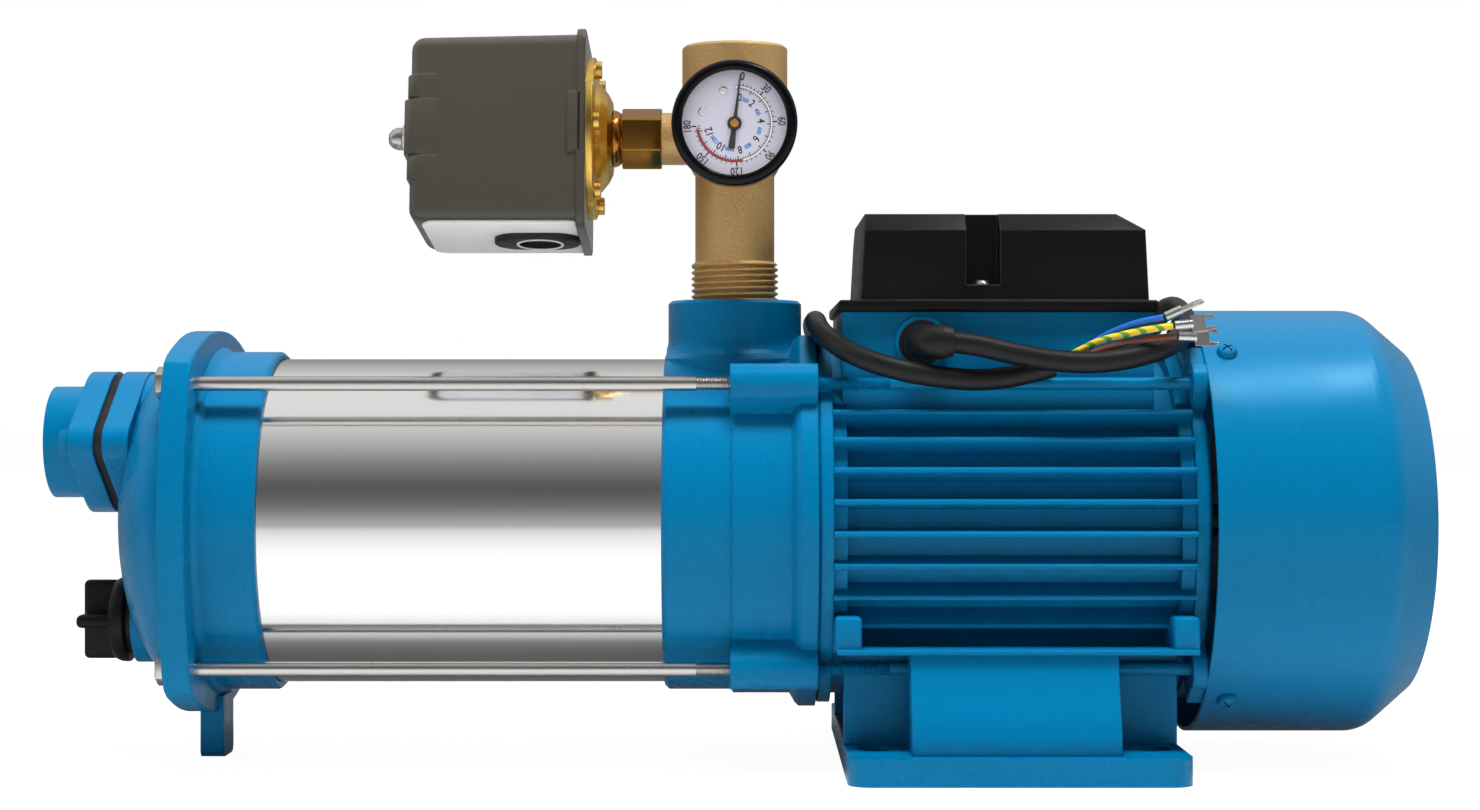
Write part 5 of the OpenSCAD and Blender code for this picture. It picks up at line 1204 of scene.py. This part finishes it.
def moulded_lid():
    """Lid with bevelled long edges, a sloping right end and a notch for each of its screws."""
    low, high = node_box("terminal_lid")
    half = high[1] - 3
    foot, top, bevel = low[2], high[2], 6.3
    left, right = high[0] - 109.0, high[0] - 3.0
    bm = bmesh.new()
    outline = [(-half, foot), (-half, top - bevel), (bevel - half, top), (half - bevel, top), (half, top - bevel),
               (half, foot)]
    draw_out(bm, [(left, y, z) for y, z in outline], (right - left, 0, 0))
    for place, slant in (((right - 1.4, 0, top - bevel), (bevel, 0, 10.0)), ((right, 0, foot), (40, 0, 2.0)),
                         ((left, 0, foot), (-40, 0, 2.2))):
        whole = bm.verts[:] + bm.edges[:] + bm.faces[:]
        cut = bmesh.ops.bisect_plane(bm, geom=whole, plane_co=mm(place), plane_no=Vector(slant).normalized(),
                                     clear_outer=True)
        rim = [e for e in cut["geom_cut"] if isinstance(e, bmesh.types.BMEdge)]
        bmesh.ops.holes_fill(bm, edges=rim)
    solid = close_mesh(bm, "lid_body", 30)
    bm = bmesh.new()
    for side in (-1, 1):
        near, far = sorted((side * (half - 9), side * (half + 3)))
        rounded_box(bm, (-16.2, near, foot + 10.0), (-3.8, far, top + 5), 0.5, 2)
    cut = cut_away(solid, plain_mesh(bm, "notch"), "lid_cut")
    bm = bmesh.new()
    bm.from_mesh(cut)
    bpy.data.meshes.remove(cut)
    bevel_edges(bm, 0.55, 3, 20)
    body = close_mesh(bm, "lid_body", 30)
    return [body, box_mesh("lid_rim", (low[0], low[1], foot), (high[0], high[1], foot + 4.3), 1.1, 3, 30)]


class GARDENPUMP_OT_lid(bpy.types.Operator):
    """Makes the terminal box's lid with its bevelled edges, and its cross-headed screws"""

    bl_idname = "garden_pump.lid"
    bl_label = "Terminal lid"

    def execute(self, context):
        add_joined("lid_shell", moulded_lid(), 30, "lid_plastic", ["terminal_lid"])
        low, high = node_box("lid_screws")
        screws = [cross_screw(3.8, 2.3, upright(-10, y, high[2] - 2.4)) for y in (low[1] + 3.8, high[1] - 3.8)]
        add_joined("lid_screw_heads", screws, 30, "turned_steel", ["lid_screws"])
        return {"FINISHED"}


# Castings, the drain plug and the inlet's bolts

FLANGE_X = -307.5
FLANGE_THICK = 9.8
FLANGE_REACH = 72.6
FLANGE_BULGE = 0.0034
FLANGE_CORNER = 59.6
DOME_RADIUS = 63.5
DOME_DEPTH = 26.8
DOME_INSIDE = 19.8
INLET_Z = 120.0
DRAIN_Z = 52.0


def deep_dome():
    """Bulging front of the suction casing, open where the inlet and the drain pass through it."""
    turns = [math.radians(4 * i) for i in range(1, 22)]
    lip = DOME_RADIUS - 1.5
    profile = [(0, -DOME_DEPTH), *((DOME_RADIUS * math.sin(t), -DOME_DEPTH * math.cos(t)) for t in turns),
               (DOME_RADIUS, 0.5), (lip, 0.5),
               *((lip * math.sin(t), -DOME_INSIDE * math.cos(t)) for t in reversed(turns)), (0, -DOME_INSIDE)]
    dome = turned_mesh("dome", profile, along_x(FLANGE_X), 128)
    for z, radius in ((INLET_Z, 22.0), (DRAIN_Z, 13.0)):
        bore = turned_mesh("bore", [(0, -40), (radius, -40), (radius, 10), (0, 10)], along_x(FLANGE_X, 0, z), 64)
        dome = cut_away(dome, bore, "dome")
    return dome


def bulged_plate():
    """Square flange with bulging sides and rounded corners."""
    outline = []
    for side, up in ((1, 0), (0, 1), (-1, 0), (0, -1)):
        for i in range(-12, 13):
            across = i * 4.5
            out = FLANGE_REACH - FLANGE_BULGE * across * across
            outline.append((side * out - up * across, SHAFT_Z + up * out + side * across))
        outline.append(((side - up) * FLANGE_CORNER, SHAFT_Z + (side + up) * FLANGE_CORNER))
    return casting_along_x("plate", outline, FLANGE_X - 0.15, FLANGE_X + FLANGE_THICK + 0.15, 0.8)


class GARDENPUMP_OT_castings(bpy.types.Operator):
    """Makes the suction casing's dome and flange, and the inlet's painted bolts"""

    bl_idname = "garden_pump.castings"
    bl_label = "Castings"

    def execute(self, context):
        add_joined("suction_front", [deep_dome(), bulged_plate()], 30, "cast_blue")
        low, high = node_box("inlet_bolts")
        shank = high[0] - low[0] - 4
        meshes = []
        for y in (-35.0, 35.0):
            place = along_x(low[0] + 4, y, INLET_Z)
            meshes.append(hex_head(10, 4, place @ spun("X", 180)))
            meshes.append(turned_mesh("shank", [(0, 0), (2.8, 0), (2.8, shank), (0, shank)], place, 24))
        add_joined("inlet_bolt_set", meshes, 30, "bolt_blue", ["inlet_bolts"])
        return {"FINISHED"}


class GARDENPUMP_OT_drain(bpy.types.Operator):
    """Makes the drain plug's cap, crossed wings and shank"""

    bl_idname = "garden_pump.drain"
    bl_label = "Drain plug"

    def execute(self, context):
        low, high = node_box("drain_plug")
        cap_front, cap_back, cap_r = low[0] + 12.1, low[0] + 18.4, 16.3
        turn = along_x(0, 0, DRAIN_Z)
        cap = rounded(2.2, [(0, cap_front), (cap_r - 1.4, cap_front), (cap_r, cap_front + 3), (cap_r, cap_back - 0.6),
                            (cap_r - 0.8, cap_back), (0, cap_back)])
        shank = [(0, cap_back - 1), (10.2, cap_back - 1)]
        for i in range(5):
            x = cap_back + 2 + 1.8 * i
            shank += [(10.2, x), (9.5, x + 0.9), (10.2, x + 1.7)]
        shank += [(9.4, high[0]), (7.2, high[0]), (7.2, cap_back + 4), (0, cap_back + 4)]
        meshes = [turned_mesh("cap", cap, turn, 72), turned_mesh("shank", shank, turn, 48)]
        for wide, tall in ((15.1, 2.5), (2.5, 15.1)):
            meshes.append(box_mesh("wing", (low[0], -wide, DRAIN_Z - tall), (cap_front + 1.5, wide, DRAIN_Z + tall),
                                   2.0, 4))
        add_joined("plug_handle", meshes, 35, "plug_plastic", ["drain_plug"], "plug")
        return {"FINISHED"}


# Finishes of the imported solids

NODE_FINISHES = {
    "cast_blue": ["suction_casing", "inlet_flange", "outlet_casing", "front_shield", "rear_shield", "foot"],
    "frame_blue": ["motor_frame"],
    "sheet_blue": ["fan_cover"],
    "bolt_blue": ["inlet_bolts", "through_bolts"],
    "barrel_steel": ["barrel"],
    "drawn_steel": ["tie_rods", "shaft", "shaft_sleeves"],
    "turned_steel": ["cover_screws", "lid_screws", "switch_cap_nut", "impeller_nut", "bearing_outers",
                     "bearing_inners"],
    "stamped_steel": [f"{kind}_{i}" for kind in ("diffuser", "impeller") for i in range(1, 6)],
    "crimp_tin": ["fork_terminals"],
    "cast_brass": ["tee"],
    "turned_brass": ["switch_union", "gauge_case"],
    "gold_zinc": ["switch_diaphragm", "switch_screws"],
    "zinc_plate": ["switch_base"],
    "cover_enamel": ["switch_cover"],
    "lid_plastic": ["terminal_lid"],
    "plug_plastic": ["drain_plug"],
    "bezel_plastic": ["gauge_bezel"],
    "soft_rubber": ["valve_gasket", "valve_flap", "drain_seal", "barrel_seals", "switch_grommet"],
    "cord_rubber": ["cable_gland", "power_cord"],
    "fan_plastic": ["fan"],
    "dial_enamel": ["gauge_dial"],
    "needle_black": ["gauge_needle"],
    "lens_glass": ["gauge_lens"],
    "seal_ceramic": ["seal_seat"],
    "seal_carbon": ["seal_rotor"],
    "core_laminate": ["stator", "rotor_core"],
    "capacitor_shell": ["capacitor"],
    "core_earth": ["wire_earth"],
    "core_live": ["wire_live"],
    "core_neutral": ["wire_neutral"],
}


class GARDENPUMP_OT_finishes(bpy.types.Operator):
    """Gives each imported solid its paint, metal, plastic or rubber"""

    bl_idname = "garden_pump.finishes"
    bl_label = "Finishes"

    def execute(self, context):
        for name, nodes in NODE_FINISHES.items():
            for node in nodes:
                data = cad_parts[node].data
                if not data.materials:
                    data.materials.append(None)
                for slot in range(len(data.materials)):
                    data.materials[slot] = finish(name)
        return {"FINISHED"}


class GARDENPUMP_PT_panel(bpy.types.Panel):
    """Lists the pump's operators, sizes and colours"""

    bl_idname = "GARDENPUMP_PT_panel"
    bl_label = "Garden pump"
    bl_space_type = "VIEW_3D"
    bl_region_type = "UI"
    bl_category = "Garden pump"

    def draw(self, context):
        column = self.layout.column(align=True)
        for operator in OPERATORS:
            column.operator(operator.bl_idname)
        for group in (sizes(), colours()):
            box = self.layout.box()
            for name in group.bl_rna.properties.keys():
                if name not in ("rna_type", "name"):
                    box.prop(group, name)


OPERATORS = (
    GARDENPUMP_OT_stage,
    GARDENPUMP_OT_cables,
    GARDENPUMP_OT_gauge,
    GARDENPUMP_OT_tee,
    GARDENPUMP_OT_switch,
    GARDENPUMP_OT_rods,
    GARDENPUMP_OT_motor,
    GARDENPUMP_OT_lid,
    GARDENPUMP_OT_castings,
    GARDENPUMP_OT_drain,
    GARDENPUMP_OT_finishes,
)
CLASSES = (PumpSizes, PumpColours, *OPERATORS, GARDENPUMP_PT_panel)


def register():
    for item in CLASSES:
        bpy.utils.register_class(item)
    bpy.types.Scene.garden_pump_sizes = PointerProperty(type=PumpSizes)
    bpy.types.Scene.garden_pump_colours = PointerProperty(type=PumpColours)


def unregister():
    del bpy.types.Scene.garden_pump_colours
    del bpy.types.Scene.garden_pump_sizes
    for item in reversed(CLASSES):
        bpy.utils.unregister_class(item)


def main():
    register()
    for operator in OPERATORS:
        group, call = operator.bl_idname.split(".")
        getattr(getattr(bpy.ops, group), call)()


if __name__ == "__main__":
    main()
